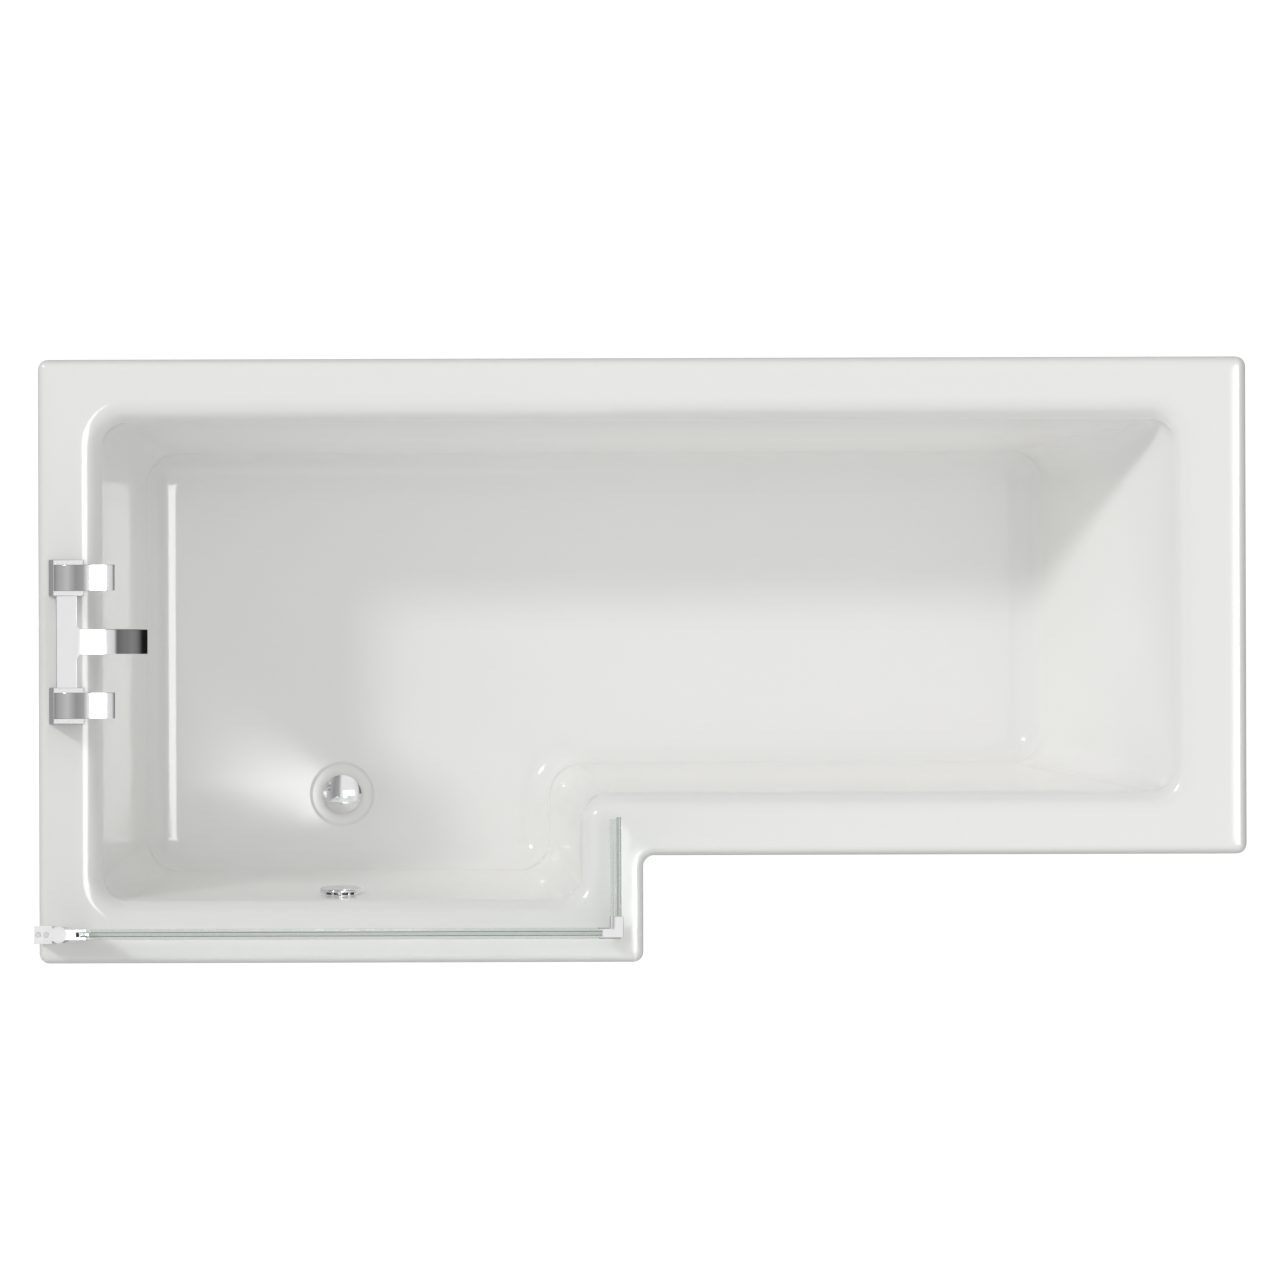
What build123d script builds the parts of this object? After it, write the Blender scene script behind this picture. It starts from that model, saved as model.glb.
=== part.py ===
# An L-shaped shower bath with its cradle, front panel, waste, bath filler and hinged glass screen.
# Millimetres. X runs along the bath, with the tap end at -X. Y runs towards the back wall. Z is up.
# The origin is on the floor, under the middle of the 1700 by 850 outline.
import os
from math import atan2, degrees

from build123d import *

# Outline of the rim
LENGTH = 1700.0
WIDE_WIDTH = 850.0
NARROW_WIDTH = 700.0
WIDE_LENGTH = 850.0
OUTER_CORNER = 15.0
HALF_X = LENGTH / 2
HALF_Y = WIDE_WIDTH / 2
STEP_X = WIDE_LENGTH - HALF_X
NARROW_Y = HALF_Y - NARROW_WIDTH

# Heights
RIM_TOP = 560.0
DEPTH = 390.0
SHELL = 6.0
FLOOR_TOP = RIM_TOP - DEPTH
FLOOR_UNDER = FLOOR_TOP - SHELL
SKIRT_BOTTOM = 525.0

# Basin: insets from the outline at the rim and at the floor, and the radii that join them
INSET_TOP = 84.8
INSET_FLOOR = 134.8
HEAD_INSET_TOP = 93.8
HEAD_INSET_FLOOR = 297.0
BASIN_CORNER = 42.0
FLOOR_CORNER = 46.0
FLOOR_FILLET = 38.0
INNER_ROLL = 33.0
OUTER_ROLL = 12.0
WALL_SLOPE = degrees(atan2(INSET_FLOOR - INSET_TOP, DEPTH))

# Board, rails and feet
BOARD = 18.0
BOARD_INSET = 185.0
BOARD_HEAD_INSET = 350.0
RAIL_HEIGHT = 30.0
RAIL_WIDTH = 40.0
RAIL_WALL = 2.0
BOARD_UNDER = FLOOR_UNDER - BOARD
RAIL_UNDER = BOARD_UNDER - RAIL_HEIGHT
RAILS = {"tap": (-600.0, -340.0, 340.0), "middle": (-190.0, -340.0, 340.0), "head": (380.0, -190.0, 340.0)}
FOOT_FROM_RAIL_END = 18.0
ROD_RADIUS = 6.0
ROD_TOP = 186.0
PAD_RADIUS = 24.0
PAD_HEIGHT = 20.0
NUT_HEIGHT = 8.0
NUT_RADIUS = 10.5
NUT_GAP = 0.05

# Timber and panel
BATTEN_INSET = 22.0
BATTEN_WIDTH = 28.0
BATTEN_HEIGHT = 20.0
BATTEN_TOP = RIM_TOP - SHELL
PANEL_INSET = 10.0
PANEL = 5.0
PANEL_BOTTOM = 12.0
PANEL_TOP = 545.0
PANEL_BATTEN_HEIGHT = 45.0
PANEL_SCREW_Z = 26.0
PANEL_SCREW_RADIUS = 2.0
PANEL_SCREW_LENGTH = 18.0
PANEL_SCREW_XS = {"wide": (-700, -430, -160), "narrow": (150, 425, 700)}

# Wall brackets
BRACKET_XS = (-450.0, 450.0)
BRACKET_WIDTH = 30.0
BRACKET = 3.0
BRACKET_BOTTOM = 440.0
BRACKET_HOLE_Z = 460.0
BRACKET_HOLE_RADIUS = 3.0
BRACKET_SCREW_LENGTH = 14.0
BRACKET_SCREW_Y = HALF_Y - 36

# Waste, trap and overflow
WASTE_X = -423.5
WASTE_Y = -186.8
WASTE_RECESS = 3.0
WASTE_RECESS_RADIUS = 45.0
WASTE_BOSS_RADIUS = 50.0
WASTE_HOLE = 22.0
WASTE_SEAL = 2.5
FLANGE_RADIUS = 26.0
FLANGE = 2.0
PLUG_RADIUS = 27.0
WASTE_BODY_BOTTOM = 96.0
WASTE_BODY_RADIUS = 25.0
WASTE_BORE = 21.0
FLANGE_TUBE = 20.9
FLANGE_BORE = 18.0
FLANGE_TUBE_BOTTOM = 122.0
PLUG_DISC = 2.0
PLUG_RISE = 6.0
PLUG_STEM_BOTTOM = 140.0
CATCH_RADIUS = 7.0
CATCH_BOTTOM = 138.0
CATCH_TOP = 158.0
CATCH_ARM_LOW = 144.0
CATCH_ARM_HIGH = 152.0
TRAP_TOP = 94.0
TRAP_BOTTOM = 22.0
TRAP_RADIUS = 42.0
TRAP_WALL = 3.0
TRAP_OUTLET_RADIUS = 20.0
TRAP_OUTLET_BORE = 17.0
TRAP_OUTLET_Z = 60.0
TRAP_OUTLET_LENGTH = 60.0
TRAP_SPIGOT_LENGTH = 50.0
TRAP_NECK_RADIUS = 19.0
TRAP_NUT_RADIUS = 31.0
OVERFLOW_X = -425.5
OVERFLOW_DROP = 100.0
OVERFLOW_RADIUS = 29.5
OVERFLOW_HOLE = 22.0
OVERFLOW_COVER = 8.0
OVERFLOW_BACK = SHELL + 0.3
OVERFLOW_CUP_RADIUS = 27.0
OVERFLOW_CUP_LENGTH = 34.0
PIPE_RADIUS = 13.0
PIPE_BORE = 11.0
PIPE_Y = -352.0
PIPE_Z = 122.0
PIPE_TOP = 440.0
PIPE_SOCKET = 16.0
PIPE_SOCKET_LOW = 415.0
PIPE_BEND = 45.0

# Bath filler
TAP_Y = 27.3
PILLAR_X = -810.5
PILLAR_SPACING = 180.0
PILLAR_LENGTH = 49.0
PILLAR_WIDTH = 51.0
PILLAR_FOOT = RIM_TOP + 2.0
PILLAR_TOP = 648.0
BRIDGE_LOW_X = -825.0
BRIDGE_HIGH_X = -795.4
BRIDGE_BOTTOM = 610.0
BRIDGE_TOP = 636.0
SPOUT_TIP_X = -696.6
SPOUT_WIDTH = 36.0
SPOUT = 13.0
SPOUT_BEND_X = -788.0
SPOUT_DROP = 40.0
SPOUT_ROOT = 7.0
SPOUT_WALL = 3.0
LEVER_WIDTH = 37.0
LEVER_LOW_X = -828.0
LEVER_HIGH_X = -742.0
LEVER_RISE = 11.0
LEVER = 5.0
LEVER_TIP_RISE = 6.0
LEVER_EDGE_Z = 654.0
COLLAR_RADIUS = 15.0
SPINDLE_RADIUS = 4.0
SPINDLE_BORE = 4.05
CARTRIDGE_RADIUS = 13.0
CARTRIDGE_BOTTOM = 606.0
TAIL_RADIUS = 13.2
TAIL_BORE = 9.0
TAIL_BOTTOM = 490.0
TAIL_THREAD_TOP = 530.0
TAIL_RELIEF_TOP = 536.0
TAIL_RELIEF_RADIUS = 12.4
SHANK_RADIUS = 13.4
BACK_NUT_LOW = 540.0
BACK_NUT_TOP = 552.0
BACK_NUT_RADIUS = 18.0
DECK_HOLE = 14.0

# Screen
SCREEN_Y = -384.7
SCREEN_FOOT = RIM_TOP + 2.0
SCREEN_TOP = 1964.0
PROFILE_END_X = -825.0
PROFILE_WIDTH = 25.0
PIVOT_X = -815.8
PIVOT_RADIUS = 11.2
PIVOT_ARM_RADIUS = 11.5
PIVOT_GROOVE = 12.2
PIVOT_ARM = 6.0
PIN_RADIUS = 4.0
PIN_BORE = 4.05
PIN_LENGTH = 16.0
CARRIER_END_X = -778.0
RAIL_THICKNESS = 15.5
GLASS = 6.0
GLASS_START_X = -792.0
CORNER_X = -39.5
RETURN_END_Y = -224.0
GLASS_BOTTOM = 584.0
GLASS_TOP = 1960.0
GLASS_CAP = SCREEN_TOP - GLASS_TOP
SEAL_BOTTOM = RIM_TOP + 0.6
SEAL_TOP = 596.0
BRACKET_LEG = 30.0
BRACKET_LEG_WIDTH = 13.0
CORNER_BRACKET_HEIGHT = 22.0
PROFILE_SCREW_XS = (-843.8, -833.1)
PROFILE_SCREW_RADIUS = 3.9
PROFILE_SCREW_SHANK = 1.8
PROFILE_SCREW_LENGTH = 18.0
WALL_SCREW_ZS = (700.0, 1826.0)
WALL_SCREW_RADIUS = 2.5


def save(name, *solids):
    """Write one named piece, or a group of identical separate pieces, to its own file."""
    shape = solids[0] if len(solids) == 1 else Compound(children=list(solids))
    export_step(shape, f"parts/{name}.step")


def box(x0, x1, y0, y1, z0, z1):
    """A block between two corners."""
    centre = Pos((x0 + x1) / 2, (y0 + y1) / 2, (z0 + z1) / 2)
    return centre * Box(x1 - x0, y1 - y0, z1 - z0)


def rod(x, y, z0, z1, radius):
    """An upright cylinder."""
    return Pos(x, y, (z0 + z1) / 2) * Cylinder(radius, z1 - z0)


def tube(x, y, z0, z1, radius, bore):
    """An upright tube, open at both ends."""
    return rod(x, y, z0, z1, radius) - rod(x, y, z0 - 1, z1 + 1, bore)


def l_corners(inset, head_inset):
    """The six corners of the L-shaped outline, moved inwards. The head end has an inset of its own."""
    low_x, high_x, high_y = -HALF_X + inset, HALF_X - head_inset, HALF_Y - inset
    step_x = STEP_X - inset
    wide_y, narrow_y = -HALF_Y + inset, NARROW_Y + inset
    return [(low_x, wide_y), (step_x, wide_y), (step_x, narrow_y),
            (high_x, narrow_y), (high_x, high_y), (low_x, high_y)]


def l_face(z, inset, head_inset, outward_radius, inward_radius):
    """The L outline at height z. Five corners point outwards, and the step's inner corner points in."""
    corners = l_corners(inset, head_inset)
    face = make_face(Polyline(*corners, close=True))
    inner = corners[2]
    for_inner = [v for v in face.vertices() if (Vector(v.X, v.Y) - Vector(*inner)).length < 1]
    face = fillet(for_inner, inward_radius)
    others = [v for v in face.vertices()
              if any((Vector(v.X, v.Y) - Vector(*c)).length < 1 for c in corners if c != inner)]
    return Pos(0, 0, z) * fillet(others, outward_radius)


def l_prism(z0, z1, inset, corner, inner_corner):
    """The L outline as a block."""
    return extrude(l_face(z0, inset, inset, corner, inner_corner), z1 - z0)


def basin(grow):
    """The hollow of the bath, grown outwards by the shell's thickness or not at all."""
    top = l_face(RIM_TOP, INSET_TOP - grow, HEAD_INSET_TOP - grow, BASIN_CORNER + grow, BASIN_CORNER - grow)
    floor = l_face(FLOOR_TOP - grow, INSET_FLOOR - grow, HEAD_INSET_FLOOR - grow,
                   FLOOR_CORNER + grow, BASIN_CORNER - grow)
    body = loft([floor.face(), top.face()], ruled=True)
    foot = body.edges().group_by(Axis.Z)[0]
    return fillet(foot, FLOOR_FILLET + grow)


def edges_at(shape, z, low_inset, high_inset):
    """Edges of the L outlines that lie at height z with their inset between two values."""
    found = []
    for edge in shape.edges():
        bounds = edge.bounding_box()
        if abs(bounds.min.Z - z) > 0.01 or abs(bounds.max.Z - z) > 0.01:
            continue
        middle = edge.position_at(0.5)
        distances = [HALF_X + middle.X, HALF_X - middle.X, HALF_Y - middle.Y]
        distances.append(max(STEP_X - middle.X, middle.Y - NARROW_Y))
        distances.append(HALF_Y + middle.Y)
        if low_inset <= min(distances) <= high_inset:
            found.append(edge)
    return found


def overflow_place(out):
    """A place on the overflow's axis, square to the sloping front wall, moved back by a distance."""
    slope = (INSET_FLOOR - INSET_TOP) / DEPTH
    wall_y = -HALF_Y + INSET_TOP + slope * OVERFLOW_DROP
    wall = Pos(OVERFLOW_X, wall_y, RIM_TOP - OVERFLOW_DROP)
    return wall * Rot(WALL_SLOPE - 90, 0, 0) * Pos(0, 0, out)


def make_shell():
    """The acrylic shell: rim, rolled edges, skirt, basin, waste boss and holes."""
    block = l_prism(FLOOR_UNDER - 10, RIM_TOP, 0, OUTER_CORNER, OUTER_CORNER) - basin(0)
    block = fillet(edges_at(block, RIM_TOP, 60, 200), INNER_ROLL)
    block = fillet(edges_at(block, RIM_TOP, -1, 20), OUTER_ROLL)

    under = l_prism(0, BATTEN_TOP, SHELL, OUTER_CORNER - SHELL, OUTER_CORNER + SHELL)
    under -= basin(SHELL)
    under = fillet(edges_at(under, BATTEN_TOP, 55, 200), INNER_ROLL - SHELL)
    under = fillet(edges_at(under, BATTEN_TOP, 0, 20), OUTER_ROLL - SHELL)
    below = box(-HALF_X - 9, HALF_X + 9, -HALF_Y - 9, HALF_Y + 9, -9, SKIRT_BOTTOM)
    below -= basin(SHELL)
    shell = block - under - below

    boss = rod(WASTE_X, WASTE_Y, FLOOR_UNDER - WASTE_RECESS, FLOOR_TOP, WASTE_BOSS_RADIUS)
    recess = Pos(WASTE_X, WASTE_Y, FLOOR_TOP - WASTE_RECESS / 2)
    recess *= Cone(WASTE_RECESS_RADIUS - 3 * WASTE_RECESS, WASTE_RECESS_RADIUS, WASTE_RECESS)
    shell = shell + boss - recess
    shell -= rod(WASTE_X, WASTE_Y, FLOOR_UNDER - 20, FLOOR_TOP + 1, WASTE_HOLE)
    shell -= overflow_place(0) * Cylinder(OVERFLOW_HOLE, 40)
    for side in (-1, 1):
        y = TAP_Y + side * PILLAR_SPACING / 2
        shell -= rod(PILLAR_X, y, RIM_TOP - 30, RIM_TOP + 1, DECK_HOLE)
    return shell


def make_board():
    """The board under the floor, cut away round the waste."""
    board = extrude(l_face(BOARD_UNDER, BOARD_INSET, BOARD_HEAD_INSET, 12, 12), BOARD)
    return board - rod(WASTE_X, WASTE_Y, BOARD_UNDER - 1, FLOOR_UNDER + 1, WASTE_BOSS_RADIUS + 6)


def foot_places(rail):
    """The two feet of a rail, as names and places."""
    x, low_y, high_y = RAILS[rail]
    return {"front": (x, low_y + FOOT_FROM_RAIL_END), "back": (x, high_y - FOOT_FROM_RAIL_END)}


def make_rail(rail):
    """A square steel tube across the bath, drilled for its two rods."""
    x, low_y, high_y = RAILS[rail]
    half = RAIL_WIDTH / 2
    tube_out = box(x - half, x + half, low_y, high_y, RAIL_UNDER, BOARD_UNDER)
    tube_in = box(x - half + RAIL_WALL, x + half - RAIL_WALL, low_y - 1, high_y + 1,
                  RAIL_UNDER + RAIL_WALL, BOARD_UNDER - RAIL_WALL)
    shape = tube_out - tube_in
    for foot_x, foot_y in foot_places(rail).values():
        shape -= rod(foot_x, foot_y, RAIL_UNDER - 1, BOARD_UNDER + 1, ROD_RADIUS + NUT_GAP)
    return shape


def make_leg_rod(x, y):
    """A threaded rod, plain here, that stands in its pad."""
    return rod(x, y, PAD_HEIGHT / 2, ROD_TOP, ROD_RADIUS)


def make_foot_pad(x, y):
    """A plastic pad, wide at the floor, with a socket for the rod."""
    flat = PAD_HEIGHT * 0.4
    pad = rod(x, y, 0, flat, PAD_RADIUS)
    neck = Pos(x, y, (flat + PAD_HEIGHT) / 2) * Cone(PAD_RADIUS - 2, ROD_RADIUS + 5, PAD_HEIGHT - flat)
    return pad + neck - rod(x, y, PAD_HEIGHT / 2, PAD_HEIGHT + 1, ROD_RADIUS)


def make_nut(x, y, z):
    """A hexagon nut that stands on height z, bored to run on the rod."""
    hexagon = extrude(Pos(x, y, z) * RegularPolygon(NUT_RADIUS, 6), NUT_HEIGHT)
    return hexagon - rod(x, y, z - 1, z + NUT_HEIGHT + 1, ROD_RADIUS + NUT_GAP)


def rim_battens():
    """Timber under the rim, one length for each side that has one."""
    near, far = BATTEN_INSET, BATTEN_INSET + BATTEN_WIDTH
    low, high = BATTEN_TOP - BATTEN_HEIGHT, BATTEN_TOP
    back = box(-HALF_X + far, HALF_X - 3 * near, HALF_Y - far, HALF_Y - near, low, high)
    for x in BRACKET_XS:
        back -= rod(x, BRACKET_SCREW_Y, low - 1, low + BRACKET_SCREW_LENGTH, PANEL_SCREW_RADIUS)
    return {
        "rim_batten_back": back,
        "rim_batten_head": box(HALF_X - far, HALF_X - near, NARROW_Y + far + 8, HALF_Y - far - 8, low, high),
        "rim_batten_narrow": box(-near, HALF_X - 3 * near, NARROW_Y + near, NARROW_Y + far, low, high),
        "rim_batten_wide": box(-HALF_X + far, STEP_X - far - 8, -HALF_Y + near, -HALF_Y + far, low, high),
    }


def make_wall_bracket(x):
    """A cranked steel bracket from the back batten, round the skirt, to the wall."""
    half = BRACKET_WIDTH / 2
    low = BATTEN_TOP - BATTEN_HEIGHT
    crank_y = HALF_Y - SHELL - 3
    under_skirt = SKIRT_BOTTOM - 3
    shape = box(x - half, x + half, HALF_Y - BATTEN_INSET - BATTEN_WIDTH, crank_y, low - BRACKET, low)
    shape += box(x - half, x + half, crank_y - BRACKET, crank_y, under_skirt - BRACKET, low)
    shape += box(x - half, x + half, crank_y - BRACKET, HALF_Y, under_skirt - BRACKET, under_skirt)
    shape += box(x - half, x + half, HALF_Y - BRACKET, HALF_Y, BRACKET_BOTTOM, under_skirt)
    hole = Pos(x, HALF_Y, BRACKET_HOLE_Z) * Rot(90, 0, 0) * Cylinder(BRACKET_HOLE_RADIUS, 20)
    return shape - hole - rod(x, BRACKET_SCREW_Y, low - 9, low + 9, PANEL_SCREW_RADIUS + 0.3)


def make_bracket_screw(x):
    """A wood screw up through the bracket into the batten."""
    under = BATTEN_TOP - BATTEN_HEIGHT - BRACKET
    shank = rod(x, BRACKET_SCREW_Y, under, under + BRACKET_SCREW_LENGTH, PANEL_SCREW_RADIUS)
    return rod(x, BRACKET_SCREW_Y, under - 2.5, under, 2 * PANEL_SCREW_RADIUS) + shank


def panel_screw_places():
    """The screws along the foot of the panel: three on each long face."""
    wide = [(x, -HALF_Y + PANEL_INSET) for x in PANEL_SCREW_XS["wide"]]
    narrow = [(x, NARROW_Y + PANEL_INSET) for x in PANEL_SCREW_XS["narrow"]]
    return wide + narrow


def along_y(x, y0, y1, z, radius):
    """A level cylinder along Y."""
    return Pos(x, (y0 + y1) / 2, z) * Rot(90, 0, 0) * Cylinder(radius, y1 - y0)


def along_x(x0, x1, y, z, radius):
    """A level cylinder along X."""
    return Pos((x0 + x1) / 2, y, z) * Rot(0, 90, 0) * Cylinder(radius, x1 - x0)


def make_front_panel():
    """One moulded panel: wide face, step face and narrow face, open at the back and the ends."""
    outside = l_prism(PANEL_BOTTOM, PANEL_TOP, PANEL_INSET, 8, 25)
    inside = l_prism(PANEL_BOTTOM - 1, PANEL_TOP + 1, PANEL_INSET + PANEL, 3, 30)
    end_x = HALF_X - PANEL_INSET - PANEL - 2
    front_only = box(-end_x, end_x, -HALF_Y, NARROW_Y + 60, 0, RIM_TOP)
    panel = (outside - inside) & front_only
    for x, y in panel_screw_places():
        panel -= along_y(x, y - 1, y + PANEL + 1, PANEL_SCREW_Z, PANEL_SCREW_RADIUS + 0.3)
    return panel


def make_panel_batten(x0, x1, face_y):
    """A floor batten behind the panel's foot, drilled for the screws."""
    back = face_y + PANEL_INSET + PANEL
    batten = box(x0, x1, back, back + BATTEN_WIDTH, 0, PANEL_BATTEN_HEIGHT)
    for x, y in panel_screw_places():
        if x0 < x < x1:
            batten -= along_y(x, back - 1, back + 15, PANEL_SCREW_Z, PANEL_SCREW_RADIUS)
    return batten


def make_panel_screw(x, y):
    """A dome-headed screw through the panel."""
    head = along_y(x, y - 2.5, y, PANEL_SCREW_Z, 5)
    return head + along_y(x, y, y + PANEL_SCREW_LENGTH, PANEL_SCREW_Z, PANEL_SCREW_RADIUS)


def make_flange():
    """The waste flange in the recess, with its threaded tube."""
    seat = FLOOR_TOP - WASTE_RECESS
    ring = tube(WASTE_X, WASTE_Y, seat, seat + FLANGE, FLANGE_RADIUS, FLANGE_BORE)
    return ring + tube(WASTE_X, WASTE_Y, FLANGE_TUBE_BOTTOM, seat, FLANGE_TUBE, FLANGE_BORE)


def make_waste_body():
    """The threaded body below the floor, with a side socket for the overflow pipe."""
    top = FLOOR_UNDER - WASTE_RECESS - WASTE_SEAL
    body = rod(WASTE_X, WASTE_Y, WASTE_BODY_BOTTOM, top, WASTE_BODY_RADIUS)
    body += rod(WASTE_X, WASTE_Y, top - 4, top, WASTE_BODY_RADIUS + 5)
    socket_end = WASTE_Y - WASTE_BODY_RADIUS - 22
    body += along_y(OVERFLOW_X, socket_end, WASTE_Y, PIPE_Z - 8, PIPE_SOCKET)
    body -= rod(WASTE_X, WASTE_Y, WASTE_BODY_BOTTOM - 1, top + 1, WASTE_BORE)
    body -= along_y(OVERFLOW_X, socket_end - 1, WASTE_Y - WASTE_BODY_RADIUS - 4, PIPE_Z - 8, PIPE_RADIUS)
    return body - along_y(OVERFLOW_X, socket_end, WASTE_Y, PIPE_Z - 8, PIPE_BORE - 1)


def make_plug_catch():
    """The push catch: a spider in the flange tube with a guide for the plug's stem."""
    catch = rod(WASTE_X, WASTE_Y, CATCH_BOTTOM, CATCH_TOP, CATCH_RADIUS)
    arm = FLANGE_BORE - 0.4
    for half_x, half_y in ((arm, 2), (2, arm)):
        catch += box(WASTE_X - half_x, WASTE_X + half_x, WASTE_Y - half_y, WASTE_Y + half_y,
                     CATCH_ARM_LOW, CATCH_ARM_HIGH)
    return catch - rod(WASTE_X, WASTE_Y, CATCH_BOTTOM - 1, CATCH_TOP + 1, SPINDLE_BORE)


def make_plug():
    """The domed plug on its stem, shown pushed shut."""
    seat = FLOOR_TOP - WASTE_RECESS + FLANGE + 0.3
    top = seat + PLUG_DISC + PLUG_RISE
    sphere_radius = (PLUG_RADIUS ** 2 + PLUG_RISE ** 2) / (2 * PLUG_RISE)
    dome = Pos(WASTE_X, WASTE_Y, top - sphere_radius) * Sphere(sphere_radius)
    dome &= rod(WASTE_X, WASTE_Y, seat + PLUG_DISC, top + 1, PLUG_RADIUS)
    disc = rod(WASTE_X, WASTE_Y, seat, seat + PLUG_DISC, PLUG_RADIUS)
    return dome + disc + rod(WASTE_X, WASTE_Y, PLUG_STEM_BOTTOM, seat, SPINDLE_RADIUS)


def make_trap():
    """The bottle trap: bowl, inlet with its dip tube, and a level outlet towards the tap end."""
    trap = rod(WASTE_X, WASTE_Y, TRAP_BOTTOM, TRAP_TOP - 12, TRAP_RADIUS)
    trap += rod(WASTE_X, WASTE_Y, TRAP_BOTTOM + 20, WASTE_BODY_BOTTOM, WASTE_BODY_RADIUS)
    outlet_end = WASTE_X - TRAP_RADIUS - TRAP_OUTLET_LENGTH
    spigot_end = outlet_end + TRAP_SPIGOT_LENGTH
    trap += along_x(outlet_end, spigot_end, WASTE_Y, TRAP_OUTLET_Z, TRAP_OUTLET_RADIUS)
    trap += along_x(spigot_end, WASTE_X, WASTE_Y, TRAP_OUTLET_Z, TRAP_NECK_RADIUS)
    bowl = rod(WASTE_X, WASTE_Y, TRAP_BOTTOM + TRAP_WALL, TRAP_TOP - 12 - TRAP_WALL,
               TRAP_RADIUS - TRAP_WALL)
    dip = tube(WASTE_X, WASTE_Y, TRAP_BOTTOM + 20, TRAP_TOP, WASTE_BORE + 2, WASTE_BORE)
    bore_end = WASTE_X - WASTE_BORE - 9
    trap = trap - along_x(outlet_end - 1, bore_end, WASTE_Y, TRAP_OUTLET_Z, TRAP_OUTLET_BORE) - bowl + dip
    return trap - rod(WASTE_X, WASTE_Y, TRAP_BOTTOM + 19, WASTE_BODY_BOTTOM + 1, WASTE_BORE)


def make_overflow_cover():
    """The round overflow cover with slots round its upper edge."""
    cover = overflow_place(OVERFLOW_COVER / 2) * Cylinder(OVERFLOW_RADIUS, OVERFLOW_COVER)
    front = cover.edges().sort_by(Axis.Y)[-1]
    cover = fillet(front, 2)
    cover -= overflow_place(OVERFLOW_COVER / 2 - 3) * Cylinder(OVERFLOW_RADIUS - 3, OVERFLOW_COVER)
    for turn in (-36, -12, 12, 36):
        slot = Rot(0, 0, turn) * Pos(0, -OVERFLOW_RADIUS, 0) * Box(8, 12, OVERFLOW_COVER - 5)
        cover -= overflow_place(OVERFLOW_COVER / 2 - 0.5) * slot
    return cover


def make_overflow_body():
    """The elbow behind the wall: a cup against the seal and a socket for the pipe."""
    middle = -OVERFLOW_BACK - WASTE_SEAL - OVERFLOW_CUP_LENGTH / 2
    outer = overflow_place(middle) * Cylinder(OVERFLOW_CUP_RADIUS, OVERFLOW_CUP_LENGTH)
    cup = overflow_place(middle + 4) * Cylinder(OVERFLOW_HOLE, OVERFLOW_CUP_LENGTH)
    socket = rod(OVERFLOW_X, PIPE_Y, PIPE_SOCKET_LOW, RIM_TOP - OVERFLOW_DROP, PIPE_SOCKET)
    way_down = rod(OVERFLOW_X, PIPE_Y, PIPE_SOCKET_LOW - 1, PIPE_TOP, PIPE_RADIUS)
    way_up = rod(OVERFLOW_X, PIPE_Y, PIPE_TOP - 1, RIM_TOP - OVERFLOW_DROP, PIPE_BORE - 1)
    return outer + socket - cup - way_down - way_up


def make_overflow_pipe():
    """A rigid pipe down from the overflow and round one bend to the waste body."""
    x = OVERFLOW_X
    end_y = WASTE_Y - WASTE_BODY_RADIUS - 4
    z = PIPE_Z - 8
    path = FilletPolyline((x, PIPE_Y, PIPE_TOP), (x, PIPE_Y, z), (x, end_y, z), radius=PIPE_BEND)
    start = Plane(origin=(x, PIPE_Y, PIPE_TOP), z_dir=(0, 0, -1))
    return sweep(start * (Circle(PIPE_RADIUS) - Circle(PIPE_BORE)), path)


def pillar_ys():
    """The left and right pillar, seen from the bath: left is the wall side."""
    return {"left": TAP_Y + PILLAR_SPACING / 2, "right": TAP_Y - PILLAR_SPACING / 2}


def make_tap_body():
    """Two square pillars and the bridge between them, bored for the valves and inlets."""
    ys = pillar_ys()
    body = box(BRIDGE_LOW_X, BRIDGE_HIGH_X, ys["right"], ys["left"], BRIDGE_BOTTOM, BRIDGE_TOP)
    for y in ys.values():
        pillar = box(PILLAR_X - PILLAR_LENGTH / 2, PILLAR_X + PILLAR_LENGTH / 2,
                     y - PILLAR_WIDTH / 2, y + PILLAR_WIDTH / 2, PILLAR_FOOT, PILLAR_TOP)
        body += fillet(pillar.edges().filter_by(Axis.Z), 2)
    for y in ys.values():
        body -= rod(PILLAR_X, y, CARTRIDGE_BOTTOM, PILLAR_TOP + 1, CARTRIDGE_RADIUS)
        body -= rod(PILLAR_X, y, PILLAR_FOOT - 1, CARTRIDGE_BOTTOM + 1, TAIL_BORE)
    return body


def spout_profile(inset, start_x):
    """The spout's side view: level, then a round bend down, drawn inwards by inset on both faces."""
    reach = SPOUT_TIP_X - SPOUT_BEND_X
    bend = (reach ** 2 + SPOUT_DROP ** 2) / (2 * SPOUT_DROP)
    turn = degrees(atan2(reach, bend - SPOUT_DROP)) + (4 if inset else 0)
    centre = (SPOUT_BEND_X, BRIDGE_TOP - bend)
    top = CenterArc(centre, bend - inset, 90, -turn)
    low = CenterArc(centre, bend - SPOUT + inset, 90, -turn)
    lines = [top, low, Line(top @ 1, low @ 1),
             Line((start_x, BRIDGE_TOP - inset), top @ 0),
             Line((start_x, BRIDGE_TOP - SPOUT + inset), low @ 0),
             Line((start_x, BRIDGE_TOP - inset), (start_x, BRIDGE_TOP - SPOUT + inset))]
    return make_face(lines)


def along_width(face, y, width):
    """A side view stretched along Y about height y."""
    return extrude(Plane((0, y, 0), x_dir=(1, 0, 0), z_dir=(0, -1, 0)) * face, width / 2, both=True)


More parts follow.
